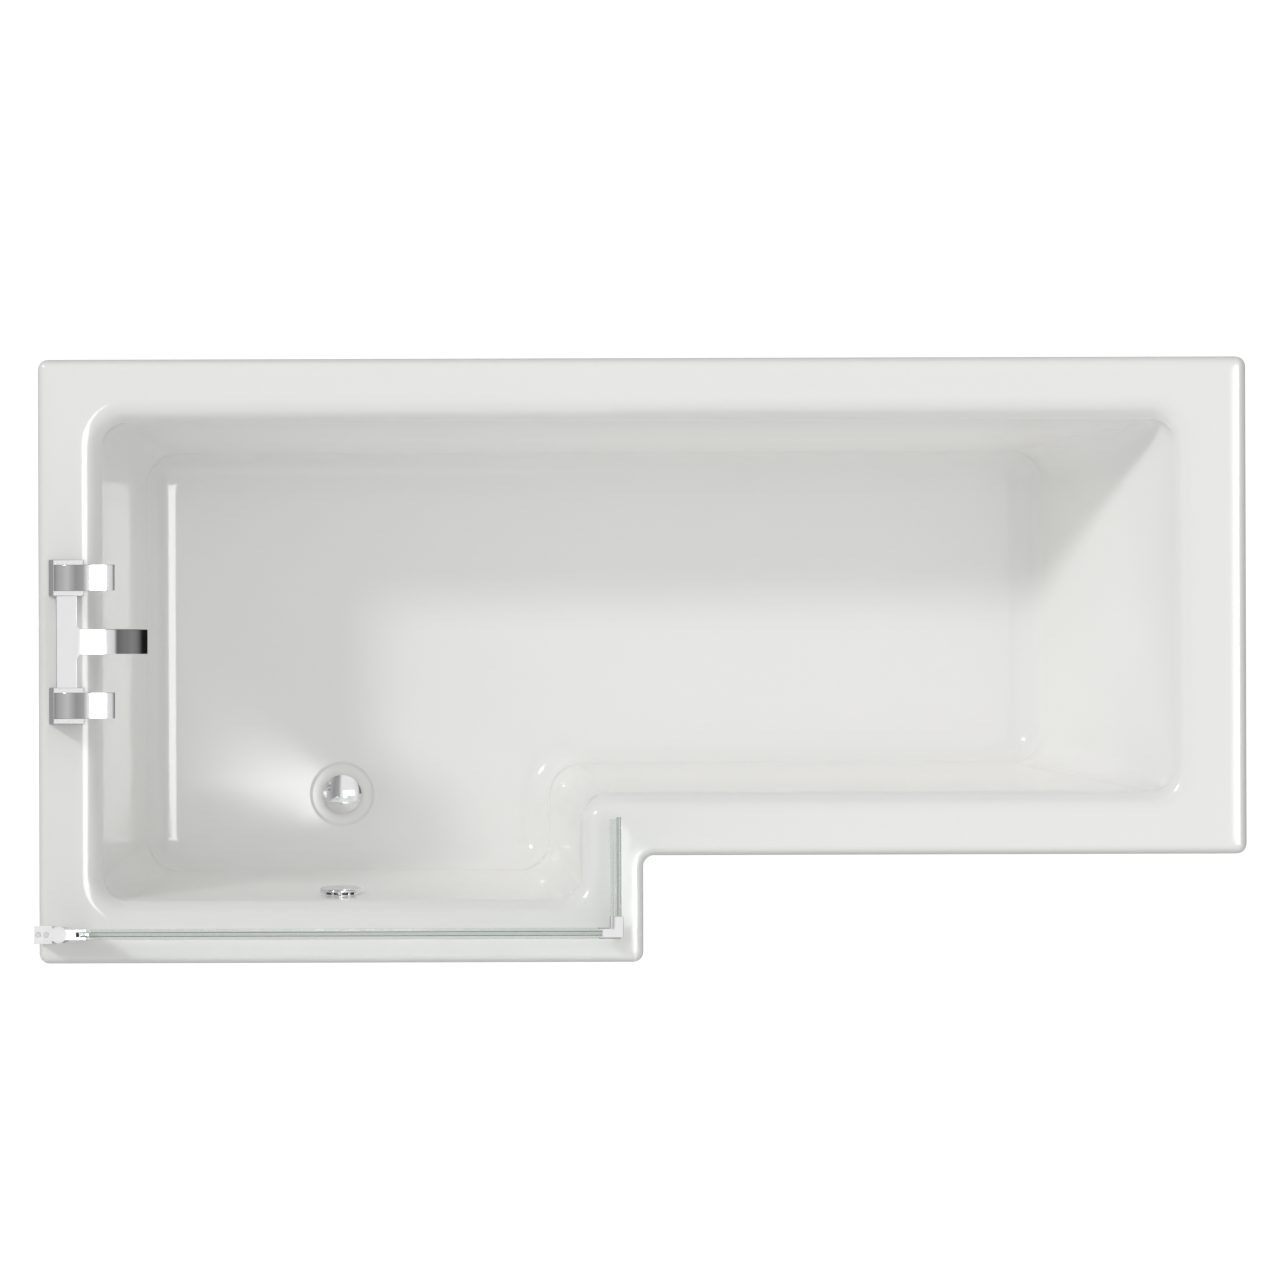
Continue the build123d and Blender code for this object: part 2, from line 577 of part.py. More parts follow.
def make_spout():
    """The flat spout, hollow, with small round fillets where it leaves the bridge."""
    spout = along_width(spout_profile(0, BRIDGE_HIGH_X), TAP_Y, SPOUT_WIDTH)
    for side in (-1, 1):
        edge = TAP_Y + side * SPOUT_WIDTH / 2
        out = edge + side * SPOUT_ROOT
        corner = box(BRIDGE_HIGH_X, BRIDGE_HIGH_X + SPOUT_ROOT, min(edge, out), max(edge, out),
                     BRIDGE_TOP - SPOUT, BRIDGE_TOP)
        spout += corner - rod(BRIDGE_HIGH_X + SPOUT_ROOT, out,
                              BRIDGE_TOP - SPOUT - 1, BRIDGE_TOP + 1, SPOUT_ROOT)
    return spout - along_width(spout_profile(SPOUT_WALL, BRIDGE_HIGH_X + 5), TAP_Y, SPOUT_WIDTH - 8)


def make_flow_insert():
    """The grid in the mouth of the spout."""
    insert = along_width(spout_profile(SPOUT_WALL, BRIDGE_HIGH_X + 5), TAP_Y, SPOUT_WIDTH - 8)
    low_x, high_x = SPOUT_TIP_X - 24, SPOUT_TIP_X - 14
    bottom = BRIDGE_TOP - SPOUT_DROP - 2 * SPOUT
    insert &= box(low_x, high_x, TAP_Y - SPOUT_WIDTH, TAP_Y + SPOUT_WIDTH, bottom, BRIDGE_TOP)
    for step in (-2, -1, 0, 1, 2):
        insert -= rod((low_x + high_x) / 2, TAP_Y + step * 5, bottom, BRIDGE_TOP, 1.5)
    return insert


def lever_arc(lift):
    """One face of the curved lever, as an arc that ends a little higher over the bath."""
    middle = (LEVER_LOW_X + LEVER_HIGH_X) / 2
    low_z = LEVER_EDGE_Z + lift
    high_z = low_z + LEVER_TIP_RISE
    return ThreePointArc((LEVER_LOW_X, low_z), (middle, (low_z + high_z) / 2 + LEVER_RISE),
                         (LEVER_HIGH_X, high_z))


def make_lever(y):
    """A curved lever with the collar and spindle that turn with it."""
    under, over = lever_arc(0), lever_arc(LEVER)
    strap = make_face([under, over, Line(under @ 0, over @ 0), Line(under @ 1, over @ 1)])
    low_z = PILLAR_TOP - 5
    below = make_face([over, Line(over @ 1, (LEVER_HIGH_X, low_z)),
                       Line((LEVER_HIGH_X, low_z), (LEVER_LOW_X, low_z)),
                       Line((LEVER_LOW_X, low_z), over @ 0)])
    collar = rod(PILLAR_X, y, PILLAR_TOP + 0.4, LEVER_EDGE_Z + 40, COLLAR_RADIUS)
    collar &= along_width(below, y, LEVER_WIDTH)
    spindle = rod(PILLAR_X, y, CARTRIDGE_BOTTOM + 18, PILLAR_TOP + 2, SPINDLE_RADIUS)
    return along_width(strap, y, LEVER_WIDTH) + collar + spindle


def make_cartridge(y):
    """A quarter-turn valve cartridge, bored for its spindle."""
    return tube(PILLAR_X, y, CARTRIDGE_BOTTOM, PILLAR_TOP - 1, CARTRIDGE_RADIUS, SPINDLE_BORE)


def make_tap_tail(y):
    """An inlet tail: the plain shank in the rim, a relief, and the thread for the supply connector."""
    steps = [(TAIL_BOTTOM, TAIL_THREAD_TOP, TAIL_RADIUS),
             (TAIL_THREAD_TOP, TAIL_RELIEF_TOP, TAIL_RELIEF_RADIUS),
             (TAIL_RELIEF_TOP, PILLAR_FOOT, SHANK_RADIUS)]
    tail = rod(PILLAR_X, y, *steps[0])
    for low, high, radius in steps[1:]:
        tail += rod(PILLAR_X, y, low, high, radius)
    return tail - rod(PILLAR_X, y, TAIL_BOTTOM - 1, PILLAR_FOOT + 1, TAIL_BORE)


def make_base_seal(y):
    """A thin gasket under a pillar."""
    seal = box(PILLAR_X - PILLAR_LENGTH / 2, PILLAR_X + PILLAR_LENGTH / 2,
               y - PILLAR_WIDTH / 2, y + PILLAR_WIDTH / 2, RIM_TOP, PILLAR_FOOT)
    return seal - rod(PILLAR_X, y, RIM_TOP - 1, PILLAR_FOOT + 1, DECK_HOLE)


def screen_box(x0, x1, half_width, z0, z1):
    """A block along the line of the screen."""
    return box(x0, x1, SCREEN_Y - half_width, SCREEN_Y + half_width, z0, z1)


def make_wall_profile():
    """The wall channel: hollow along its length, solid at its ends, grooved for the hinge tube."""
    low, high = SCREEN_FOOT + PIVOT_ARM, SCREEN_TOP - PIVOT_ARM
    profile = screen_box(-HALF_X, PROFILE_END_X, PROFILE_WIDTH / 2, low, high)
    profile -= screen_box(-HALF_X + 2.5, PROFILE_END_X - 6, PROFILE_WIDTH / 2 - 2.5, low + 22, high - 22)
    profile -= rod(PIVOT_X, SCREEN_Y, low - 1, high + 1, PIVOT_GROOVE)
    for x in PROFILE_SCREW_XS:
        profile -= rod(x, SCREEN_Y, high - PROFILE_SCREW_LENGTH, high + 1, PROFILE_SCREW_SHANK)
    for z in WALL_SCREW_ZS:
        hole = Pos(-HALF_X, SCREEN_Y, z) * Rot(0, 90, 0) * Cylinder(WALL_SCREW_RADIUS, 8)
        profile -= hole
    return profile


def make_pivot_arm(z0, pin_low, pin_high):
    """An arm on the end of the wall channel, with a round end that carries the hinge pin."""
    arm = screen_box(-HALF_X, PROFILE_END_X, PROFILE_WIDTH / 2, z0, z0 + PIVOT_ARM)
    arm += screen_box(PROFILE_END_X, PIVOT_X, 9, z0, z0 + PIVOT_ARM)
    arm += rod(PIVOT_X, SCREEN_Y, z0, z0 + PIVOT_ARM, PIVOT_ARM_RADIUS)
    return arm + rod(PIVOT_X, SCREEN_Y, pin_low, pin_high, PIN_RADIUS)


def make_pivot_arms():
    """The lower and the upper arm. The upper one is drilled for its two screws."""
    low_top = SCREEN_FOOT + PIVOT_ARM
    high_under = SCREEN_TOP - PIVOT_ARM
    low = make_pivot_arm(SCREEN_FOOT, low_top, low_top + PIN_LENGTH)
    high = make_pivot_arm(high_under, high_under - PIN_LENGTH, high_under)
    for x in PROFILE_SCREW_XS:
        high -= rod(x, SCREEN_Y, high_under - 1, SCREEN_TOP + 1, PROFILE_SCREW_RADIUS)
    return low, high


def make_profile_screw(x):
    """A screw sunk in the upper arm."""
    seat = SCREEN_TOP - PIVOT_ARM
    head = rod(x, SCREEN_Y, seat, seat + 3, PROFILE_SCREW_RADIUS - 0.2)
    return head + rod(x, SCREEN_Y, seat - PROFILE_SCREW_LENGTH, seat, PROFILE_SCREW_SHANK)


def make_carrier():
    """The hinge tube and the channel that grips the glass, as one extrusion."""
    low, high = SCREEN_FOOT + PIVOT_ARM + 0.4, SCREEN_TOP - PIVOT_ARM - 0.4
    carrier = rod(PIVOT_X, SCREEN_Y, low, high, PIVOT_RADIUS)
    carrier += screen_box(PIVOT_X + 6, CARRIER_END_X, RAIL_THICKNESS / 2, low, high)
    carrier -= screen_box(GLASS_START_X, CARRIER_END_X + 1, GLASS / 2, GLASS_BOTTOM, high + 1)
    for z in (low, high):
        carrier -= rod(PIVOT_X, SCREEN_Y, z - PIN_LENGTH - 1, z + PIN_LENGTH + 1, PIN_BORE)
    return carrier


def main_pane():
    """The long pane, from the channel to the outside of the corner."""
    return screen_box(GLASS_START_X, CORNER_X + GLASS / 2, GLASS / 2, GLASS_BOTTOM, GLASS_TOP)


def return_pane():
    """The short pane, square to the long one."""
    return box(CORNER_X - GLASS / 2, CORNER_X + GLASS / 2, SCREEN_Y + GLASS / 2, RETURN_END_Y,
               GLASS_BOTTOM, GLASS_TOP)


def make_corner_bracket(z0, z1):
    """An angle piece at the glass corner, before it is slotted for the panes."""
    half = BRACKET_LEG_WIDTH / 2
    shape = screen_box(CORNER_X + half - BRACKET_LEG, CORNER_X + half, half, z0, z1)
    shape += box(CORNER_X - half, CORNER_X + half, SCREEN_Y - half, SCREEN_Y - half + BRACKET_LEG, z0, z1)
    return shape


def make_corner_brackets():
    """The lower piece holds the panes from below and the upper one from above."""
    panes = main_pane() + return_pane()
    low = make_corner_bracket(GLASS_BOTTOM - GLASS_CAP, GLASS_BOTTOM - GLASS_CAP + CORNER_BRACKET_HEIGHT)
    high = make_corner_bracket(SCREEN_TOP - CORNER_BRACKET_HEIGHT, SCREEN_TOP)
    return low - panes, high - panes


def make_seals():
    """The two strips under the panes, slotted for the glass and just clear of the rim."""
    half = RAIL_THICKNESS / 2
    long_strip = screen_box(CARRIER_END_X + 0.1, CORNER_X + half, half, SEAL_BOTTOM, SEAL_TOP)
    short_strip = box(CORNER_X - half, CORNER_X + half, SCREEN_Y + half, RETURN_END_Y, SEAL_BOTTOM, SEAL_TOP)
    corner = make_corner_bracket(GLASS_BOTTOM - GLASS_CAP, SEAL_TOP + 1)
    return long_strip - main_pane() - corner, short_strip - return_pane() - corner


def save_bath():
    """The shell, its board, timber, panel and wall brackets."""
    save("bath_shell", make_shell())
    save("base_board", make_board())
    for name, batten in rim_battens().items():
        save(name, batten)
    save("wall_brackets", *[make_wall_bracket(x) for x in BRACKET_XS])
    save("bracket_screws", *[make_bracket_screw(x) for x in BRACKET_XS])
    save("front_panel", make_front_panel())
    save("panel_batten_wide", make_panel_batten(-HALF_X + 30, STEP_X - 60, -HALF_Y))
    save("panel_batten_narrow", make_panel_batten(STEP_X + 30, HALF_X - 30, NARROW_Y))
    save("panel_screws", *[make_panel_screw(x, y) for x, y in panel_screw_places()])


def save_cradle():
    """Rails, rods, pads and nuts."""
    nuts = []
    for rail in RAILS:
        save(f"cradle_rail_{rail}", make_rail(rail))
        for side, (x, y) in foot_places(rail).items():
            save(f"leg_rod_{rail}_{side}", make_leg_rod(x, y))
            save(f"foot_pad_{rail}_{side}", make_foot_pad(x, y))
            nuts += [make_nut(x, y, BOARD_UNDER), make_nut(x, y, RAIL_UNDER - NUT_HEIGHT)]
    save("leg_nuts", *nuts)


def save_waste():
    """Waste, plug, trap and overflow."""
    seal_top = FLOOR_UNDER - WASTE_RECESS
    save("waste_flange", make_flange())
    save("waste_seal", tube(WASTE_X, WASTE_Y, seal_top - WASTE_SEAL, seal_top,
                            WASTE_BODY_RADIUS + 5, WASTE_HOLE))
    save("waste_body", make_waste_body())
    save("plug_catch", make_plug_catch())
    save("waste_plug", make_plug())
    save("trap_nut", tube(WASTE_X, WASTE_Y, TRAP_TOP - 8, WASTE_BODY_BOTTOM,
                          TRAP_NUT_RADIUS, WASTE_BODY_RADIUS))
    save("trap_body", make_trap())
    save("overflow_cover", make_overflow_cover())
    ring = Cylinder(OVERFLOW_CUP_RADIUS, WASTE_SEAL) - Cylinder(OVERFLOW_HOLE, WASTE_SEAL)
    save("overflow_seal", overflow_place(-OVERFLOW_BACK - WASTE_SEAL / 2) * ring)
    save("overflow_body", make_overflow_body())
    save("overflow_pipe", make_overflow_pipe())


def save_tap():
    """The bath filler on the tap end of the rim."""
    ys = pillar_ys()
    save("tap_body", make_tap_body())
    save("tap_spout", make_spout())
    save("flow_insert", make_flow_insert())
    for side, y in ys.items():
        save(f"lever_{side}", make_lever(y))
    save("valve_cartridges", *[make_cartridge(y) for y in ys.values()])
    save("tap_base_seals", *[make_base_seal(y) for y in ys.values()])
    save("tap_tails", *[make_tap_tail(y) for y in ys.values()])
    save("tap_back_nuts", *[tube(PILLAR_X, y, BACK_NUT_LOW, BACK_NUT_TOP, BACK_NUT_RADIUS, SHANK_RADIUS)
                            for y in ys.values()])


def save_screen():
    """The hinged glass screen and the channel that holds it to the wall."""
    long_strip, short_strip = make_seals()
    save("wall_profile", make_wall_profile())
    save("pivot_arms", *make_pivot_arms())
    save("profile_screws", *[make_profile_screw(x) for x in PROFILE_SCREW_XS])
    save("glass_carrier", make_carrier())
    save("screen_glass", main_pane())
    save("return_glass", return_pane())
    save("corner_brackets", *make_corner_brackets())
    save("screen_seal", long_strip)
    save("return_seal", short_strip)


if __name__ == "__main__":
    os.makedirs("parts", exist_ok=True)
    save_bath()
    save_cradle()
    save_waste()
    save_tap()
    save_screen()
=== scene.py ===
# %% [markdown]
# # An L-shaped shower bath, seen from above
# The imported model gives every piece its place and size. This file gives the pieces their looks.
# We load the model first and keep its box, because the finished picture must stay inside it.

from math import atan2, cos, radians, sin

import bmesh
import bpy
import numpy as np
from mathutils import Matrix, Vector


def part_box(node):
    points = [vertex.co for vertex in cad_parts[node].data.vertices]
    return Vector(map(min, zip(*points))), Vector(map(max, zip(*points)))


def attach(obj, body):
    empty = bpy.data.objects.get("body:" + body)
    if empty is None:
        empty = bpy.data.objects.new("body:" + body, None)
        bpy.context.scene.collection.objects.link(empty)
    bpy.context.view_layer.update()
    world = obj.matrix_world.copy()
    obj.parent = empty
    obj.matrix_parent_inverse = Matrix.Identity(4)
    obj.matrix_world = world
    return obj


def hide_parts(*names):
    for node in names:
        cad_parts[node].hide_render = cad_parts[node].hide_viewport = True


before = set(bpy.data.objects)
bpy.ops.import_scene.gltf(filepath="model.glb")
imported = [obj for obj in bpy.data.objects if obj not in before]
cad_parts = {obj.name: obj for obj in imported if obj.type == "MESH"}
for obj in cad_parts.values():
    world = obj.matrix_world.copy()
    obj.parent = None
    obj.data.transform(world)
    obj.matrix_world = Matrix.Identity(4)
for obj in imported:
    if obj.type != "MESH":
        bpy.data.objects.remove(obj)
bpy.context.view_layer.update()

# %% [markdown]
# ## Meshes from grids
# Most pieces of a bathroom fitting are a profile carried along a path: a strip, a rail, a rolled rim.
# On a grid of points such a surface is one numpy array, and its faces follow from the rows and columns.
# The helpers below turn an array into a mesh, close it, and shade it smooth with crisp edges kept.

# %% Mesh helpers
MM = 0.001


def grid_faces(rows, columns, wrap_rows=False, wrap_columns=False, first=0):
    """Quads between neighbouring rows and columns. A wrapped direction joins its last line to its first."""
    row = np.arange(rows if wrap_rows else rows - 1)
    column = np.arange(columns if wrap_columns else columns - 1)
    r, c = [a.ravel() for a in np.meshgrid(row, column, indexing="ij")]
    r2, c2 = (r + 1) % rows, (c + 1) % columns
    corners = np.stack([r * columns + c, r * columns + c2, r2 * columns + c2, r2 * columns + c], axis=1)
    return (corners + first).tolist()


def add_mesh(name, parts, sharp=38.0, recalculate=True):
    """A mesh object at the origin from (points, faces) parts in millimetres. Smooth but for sharp edges."""
    points, faces = [], []
    for part_points, part_faces in parts:
        first = len(points)
        points += (np.asarray(part_points, float).reshape(-1, 3) * MM).tolist()
        faces += [[first + corner for corner in face] for face in part_faces]
    mesh = bpy.data.meshes.new(name)
    mesh.from_pydata(points, [], faces)
    if recalculate:
        shell = bmesh.new()
        shell.from_mesh(mesh)
        bmesh.ops.remove_doubles(shell, verts=shell.verts, dist=1e-6)
        bmesh.ops.recalc_face_normals(shell, faces=shell.faces)
        shell.to_mesh(mesh)
        shell.free()
    mesh.polygons.foreach_set("use_smooth", np.ones(len(mesh.polygons), bool))
    mesh.set_sharp_from_angle(angle=radians(sharp))
    piece = bpy.data.objects.new(name, mesh)
    bpy.context.scene.collection.objects.link(piece)
    return piece


def soften(piece, width, segments=3):
    """Rounds the sharp edges by a width in millimetres."""
    bevel = piece.modifiers.new("soft edges", "BEVEL")
    bevel.width, bevel.segments, bevel.limit_method = width * MM, segments, "ANGLE"
    bevel.angle_limit, bevel.harden_normals = radians(35), True
    return piece


def flatten_shading(piece):
    """Lets large flat faces keep their own normal next to small rounded edges."""
    weighted = piece.modifiers.new("flat faces stay flat", "WEIGHTED_NORMAL")
    weighted.keep_sharp = True


def place(piece, body, slot, finish, *nodes):
    """Gives a piece its body, its material and the CAD nodes it stands for. The slot is not used."""
    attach(piece, body)
    piece.data.materials.append(finish)
    if nodes:
        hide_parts(*nodes)
    print(piece.name, len(piece.data.polygons), "faces")
    return piece


def prism(outline, low, high, axis="z"):
    """An outline stretched from low to high along an axis and closed by two flat caps."""
    a, b = np.asarray(outline, float).T
    count = len(a)
    rings = []
    for level in (low, high):
        column = np.full(count, float(level))
        rings.append(np.stack({"x": (column, a, b), "y": (a, column, b), "z": (a, b, column)}[axis], axis=1))
    faces = grid_faces(2, count, wrap_columns=True)
    return np.array(rings), faces + [list(range(count)), list(range(count, 2 * count))]


def turned_grid(profile, centre, axis=(0, 0, 1), sides=72):
    """Points of a (radius, height) profile turned about an axis, one row for each pair."""
    radius, height = np.asarray(profile, float).T
    up = np.asarray(axis, float) / np.linalg.norm(axis)
    across = np.cross(up, (1, 0, 0))
    across /= np.linalg.norm(across)
    turn = np.linspace(0, 2 * np.pi, sides, endpoint=False)
    ring = np.cos(turn)[:, None] * across + np.sin(turn)[:, None] * np.cross(up, across)
    return np.asarray(centre) + radius[:, None, None] * ring + height[:, None, None] * up


def turned(profile, centre, axis=(0, 0, 1), sides=72):
    """A turned part. The profile starts and ends on the axis, so the surface is closed."""
    points = turned_grid(profile, centre, axis, sides)
    return points, grid_faces(len(points), sides, wrap_columns=True)


def arc(centre, radius, start, end, count):
    """Points on an arc in a plane, from one angle in degrees to another."""
    angle = np.radians(np.linspace(start, end, count))
    return np.stack([centre[0] + radius * np.cos(angle), centre[1] + radius * np.sin(angle)], axis=1)


def rounded_rectangle(x0, x1, y0, y1, radius, count=5):
    """A rectangle with quarter-circle corners, anticlockwise."""
    corners = [((x1 - radius, y0 + radius), -90), ((x1 - radius, y1 - radius), 0),
               ((x0 + radius, y1 - radius), 90), ((x0 + radius, y0 + radius), 180)]
    return np.concatenate([arc(centre, radius, start, start + 90, count) for centre, start in corners])


def strap(middles, normals, half_widths, half_heights, corner, y):
    """A rounded rectangle carried along a path in the XZ plane, closed by flat ends.

    Each station has a middle point, a unit normal and its own half width along Y and half height along
    the normal."""
    sections = []
    for half_width, half_height in zip(half_widths, half_heights):
        sections.append(rounded_rectangle(-half_width, half_width, -half_height, half_height, corner))
    flat = np.array(sections)
    x = middles[:, 0, None] + normals[:, 0, None] * flat[:, :, 1]
    z = middles[:, 1, None] + normals[:, 1, None] * flat[:, :, 1]
    points = np.stack([x, y + flat[:, :, 0], z], axis=2)
    rows, columns = points.shape[:2]
    faces = grid_faces(rows, columns, wrap_columns=True)
    last = (rows - 1) * columns
    return points, faces + [list(range(columns)), list(range(last, last + columns))]


def soft_copy(name, node, width):
    """A copy of a CAD piece with its triangles merged into clean faces and its edges softened."""
    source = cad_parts[node]
    mesh = source.data.copy()
    mesh.name = name
    mesh.transform(source.matrix_world)
    mesh.materials.clear()
    solid = bmesh.new()
    solid.from_mesh(mesh)
    bmesh.ops.remove_doubles(solid, verts=solid.verts, dist=1e-6)
    bmesh.ops.dissolve_limit(solid, angle_limit=radians(1), verts=solid.verts, edges=solid.edges)
    solid.to_mesh(mesh)
    solid.free()
    mesh.polygons.foreach_set("use_smooth", np.ones(len(mesh.polygons), bool))
    mesh.set_sharp_from_angle(angle=radians(38))
    piece = bpy.data.objects.new(name, mesh)
    bpy.context.scene.collection.objects.link(piece)
    soften(piece, width)
    return piece


# %% [markdown]
# ## Effects that several finishes share
# Real surfaces are never one flat value. Gloss acrylic has a faint orange-peel, chrome has fine wiping
# marks, and metal stock has drawn lines. Each effect is a node group with named inputs, so that one
# description serves many materials with other strengths.

# %% Shader groups
def new_group(name, inputs, outputs):
    """An empty shader group with float or colour sockets."""
    group = bpy.data.node_groups.new(name, "ShaderNodeTree")
    for label, kind, value in inputs:
        made = group.interface.new_socket(label, in_out="INPUT", socket_type=kind)
        made.default_value = value
    for label, kind in outputs:
        group.interface.new_socket(label, in_out="OUTPUT", socket_type=kind)
    return group, group.nodes.new("NodeGroupInput"), group.nodes.new("NodeGroupOutput")


def link(tree, source, source_socket, target, target_socket):
    """One wire between two nodes."""
    tree.links.new(source.outputs[source_socket], target.inputs[target_socket])


def math_node(tree, operation, a, b):
    """A maths node whose operands are numbers or (node, socket) pairs."""
    node = tree.nodes.new("ShaderNodeMath")
    node.operation = operation
    for slot, value in enumerate((a, b)):
        if isinstance(value, tuple):
            link(tree, value[0], value[1], node, slot)
        else:
            node.inputs[slot].default_value = value
    return node


FLOAT, COLOUR = "NodeSocketFloat", "NodeSocketColor"


def mottle_group():
    """Two noises, one broad and one fine. Out come a roughness, a tinted colour and a height."""
    group, given, out = new_group(
        "mottled surface",
        [("Colour", COLOUR, (0.8, 0.8, 0.8, 1)), ("Tint", COLOUR, (0.8, 0.8, 0.8, 1)),
         ("Roughness", FLOAT, 0.2), ("Variation", FLOAT, 0.05), ("Broad scale", FLOAT, 6.0),
         ("Fine scale", FLOAT, 240.0)],
        [("Colour", COLOUR), ("Roughness", FLOAT), ("Height", FLOAT)])
    place_on = group.nodes.new("ShaderNodeTexCoord")
    broad, fine = group.nodes.new("ShaderNodeTexNoise"), group.nodes.new("ShaderNodeTexNoise")
    broad.inputs["Detail"].default_value, fine.inputs["Detail"].default_value = 3.0, 2.0
    for noise, scale in ((broad, "Broad scale"), (fine, "Fine scale")):
        link(group, place_on, "Object", noise, "Vector")
        link(group, given, scale, noise, "Scale")
    tinted = group.nodes.new("ShaderNodeMix")
    tinted.data_type = "RGBA"
    link(group, broad, "Fac", tinted, "Factor")
    link(group, given, "Colour", tinted, "A")
    link(group, given, "Tint", tinted, "B")
    centred = math_node(group, "SUBTRACT", (broad, "Fac"), 0.5)
    spread = math_node(group, "MULTIPLY", (centred, 0), (given, "Variation"))
    rough = math_node(group, "ADD", (spread, 0), (given, "Roughness"))
    link(group, tinted, "Result", out, "Colour")
    link(group, rough, 0, out, "Roughness")
    link(group, fine, "Fac", out, "Height")
    return group


def drawn_group():
    """Noise stretched along one axis, as on extruded metal and planed wood."""
    group, given, out = new_group(
        "drawn lines",
        [("Along", FLOAT, 1.0), ("Across", FLOAT, 400.0), ("Up", FLOAT, 400.0), ("Roughness", FLOAT, 0.25),
         ("Variation", FLOAT, 0.1)],
        [("Lines", FLOAT), ("Roughness", FLOAT)])
    place_on = group.nodes.new("ShaderNodeTexCoord")
    scaled = group.nodes.new("ShaderNodeCombineXYZ")
    for socket, label in zip("XYZ", ("Along", "Across", "Up")):
        link(group, given, label, scaled, socket)
    stretched = group.nodes.new("ShaderNodeVectorMath")
    stretched.operation = "MULTIPLY"
    link(group, place_on, "Object", stretched, 0)
    link(group, scaled, 0, stretched, 1)
    noise = group.nodes.new("ShaderNodeTexNoise")
    noise.inputs["Scale"].default_value, noise.inputs["Detail"].default_value = 1.0, 4.0
    link(group, stretched, 0, noise, "Vector")
    centred = math_node(group, "SUBTRACT", (noise, "Fac"), 0.5)
    spread = math_node(group, "MULTIPLY", (centred, 0), (given, "Variation"))
    rough = math_node(group, "ADD", (spread, 0), (given, "Roughness"))
    link(group, noise, "Fac", out, "Lines")
    link(group, rough, 0, out, "Roughness")
    return group


MOTTLE, DRAWN = mottle_group(), drawn_group()
print("shader groups", MOTTLE.name, "and", DRAWN.name)

# %% [markdown]
# ## Finishes
# The bath is cast acrylic: white with a trace of warmth, glossy, and slightly soft in its reflections.
# The fittings are chrome plate. The screen has bright anodised channels, clear panes and light grey
# plastic end pieces. What is under the bath is timber, board, zinc-plated steel, brass and plastic.


# %% Material helpers
def new_material(name):
    """A material with its Principled shader, ready for wiring."""
    material = bpy.data.materials.new(name)
    material.use_nodes = True
    return material, material.node_tree, material.node_tree.nodes["Principled BSDF"]


def bumped(tree, shader, source, socket, strength, distance):
    """Sends a height through a Bump node into the shader's normal."""
    bump = tree.nodes.new("ShaderNodeBump")
    bump.inputs["Strength"].default_value = strength
    bump.inputs["Distance"].default_value = distance
    link(tree, source, socket, bump, "Height")
    link(tree, bump, "Normal", shader, "Normal")


def mottled(name, colour, tint, roughness, variation, broad=6.0, fine=240.0, bump=0.03, **sockets):
    """A finish with broad tint changes and a fine relief. Extra sockets are set on the shader itself."""
    material, tree, shader = new_material(name)
    effect = tree.nodes.new("ShaderNodeGroup")
    effect.node_tree = MOTTLE
    for label, value in (("Colour", (*colour, 1)), ("Tint", (*tint, 1)), ("Roughness", roughness),
                         ("Variation", variation), ("Broad scale", broad), ("Fine scale", fine)):
        effect.inputs[label].default_value = value
    link(tree, effect, "Colour", shader, "Base Color")
    link(tree, effect, "Roughness", shader, "Roughness")
    bumped(tree, shader, effect, "Height", bump, 0.0004)
    for socket, value in sockets.items():
        shader.inputs[socket.replace("_", " ")].default_value = value
    return material


def drawn(name, colour, dark, along, roughness, variation, bump=0.05, **sockets):
    """A finish with fine lines along the stated axis scales, darker where the lines are deep."""
    material, tree, shader = new_material(name)
    effect = tree.nodes.new("ShaderNodeGroup")
    effect.node_tree = DRAWN
    for label, value in zip(("Along", "Across", "Up"), along):
        effect.inputs[label].default_value = value
    effect.inputs["Roughness"].default_value, effect.inputs["Variation"].default_value = roughness, variation
    mix = tree.nodes.new("ShaderNodeMix")
    mix.data_type = "RGBA"
    mix.inputs["A"].default_value, mix.inputs["B"].default_value = (*dark, 1), (*colour, 1)
    link(tree, effect, "Lines", mix, "Factor")
    link(tree, mix, "Result", shader, "Base Color")
    link(tree, effect, "Roughness", shader, "Roughness")
    bumped(tree, shader, effect, "Lines", bump, 0.0003)
    for socket, value in sockets.items():
        shader.inputs[socket.replace("_", " ")].default_value = value
    return material


# %% The finishes
acrylic = mottled("white acrylic", (0.95, 0.947, 0.933), (0.94, 0.936, 0.921), 0.1, 0.03, bump=0.01,
                  fine=90.0)
chrome = mottled("chrome plate", (0.83, 0.83, 0.835), (0.79, 0.79, 0.8), 0.07, 0.05, broad=40.0, bump=0.01,
                 Metallic=1.0)
anodised = drawn("bright anodised channel", (0.86, 0.86, 0.87), (0.74, 0.74, 0.75), (600, 600, 4), 0.26, 0.12,
                 Metallic=1.0)
pale_plastic = mottled("pale grey plastic", (0.9, 0.9, 0.9), (0.87, 0.87, 0.87), 0.36, 0.08, bump=0.08,
                       fine=900)
white_plastic = mottled("white pipe plastic", (0.8, 0.8, 0.79), (0.74, 0.74, 0.72), 0.38, 0.1, bump=0.06)
black_plastic = mottled("black foot plastic", (0.03, 0.03, 0.03), (0.05, 0.05, 0.05), 0.5, 0.12, bump=0.2)
rubber = mottled("black rubber", (0.02, 0.02, 0.02), (0.035, 0.035, 0.035), 0.7, 0.1, bump=0.3)
zinc = mottled("bright zinc plate", (0.62, 0.63, 0.65), (0.5, 0.52, 0.55), 0.34, 0.2, broad=35.0, bump=0.08,
               Metallic=1.0)
thread = drawn("threaded rod", (0.66, 0.67, 0.69), (0.28, 0.28, 0.3), (3, 3, 650), 0.32, 0.1, bump=0.9,
               Metallic=1.0)
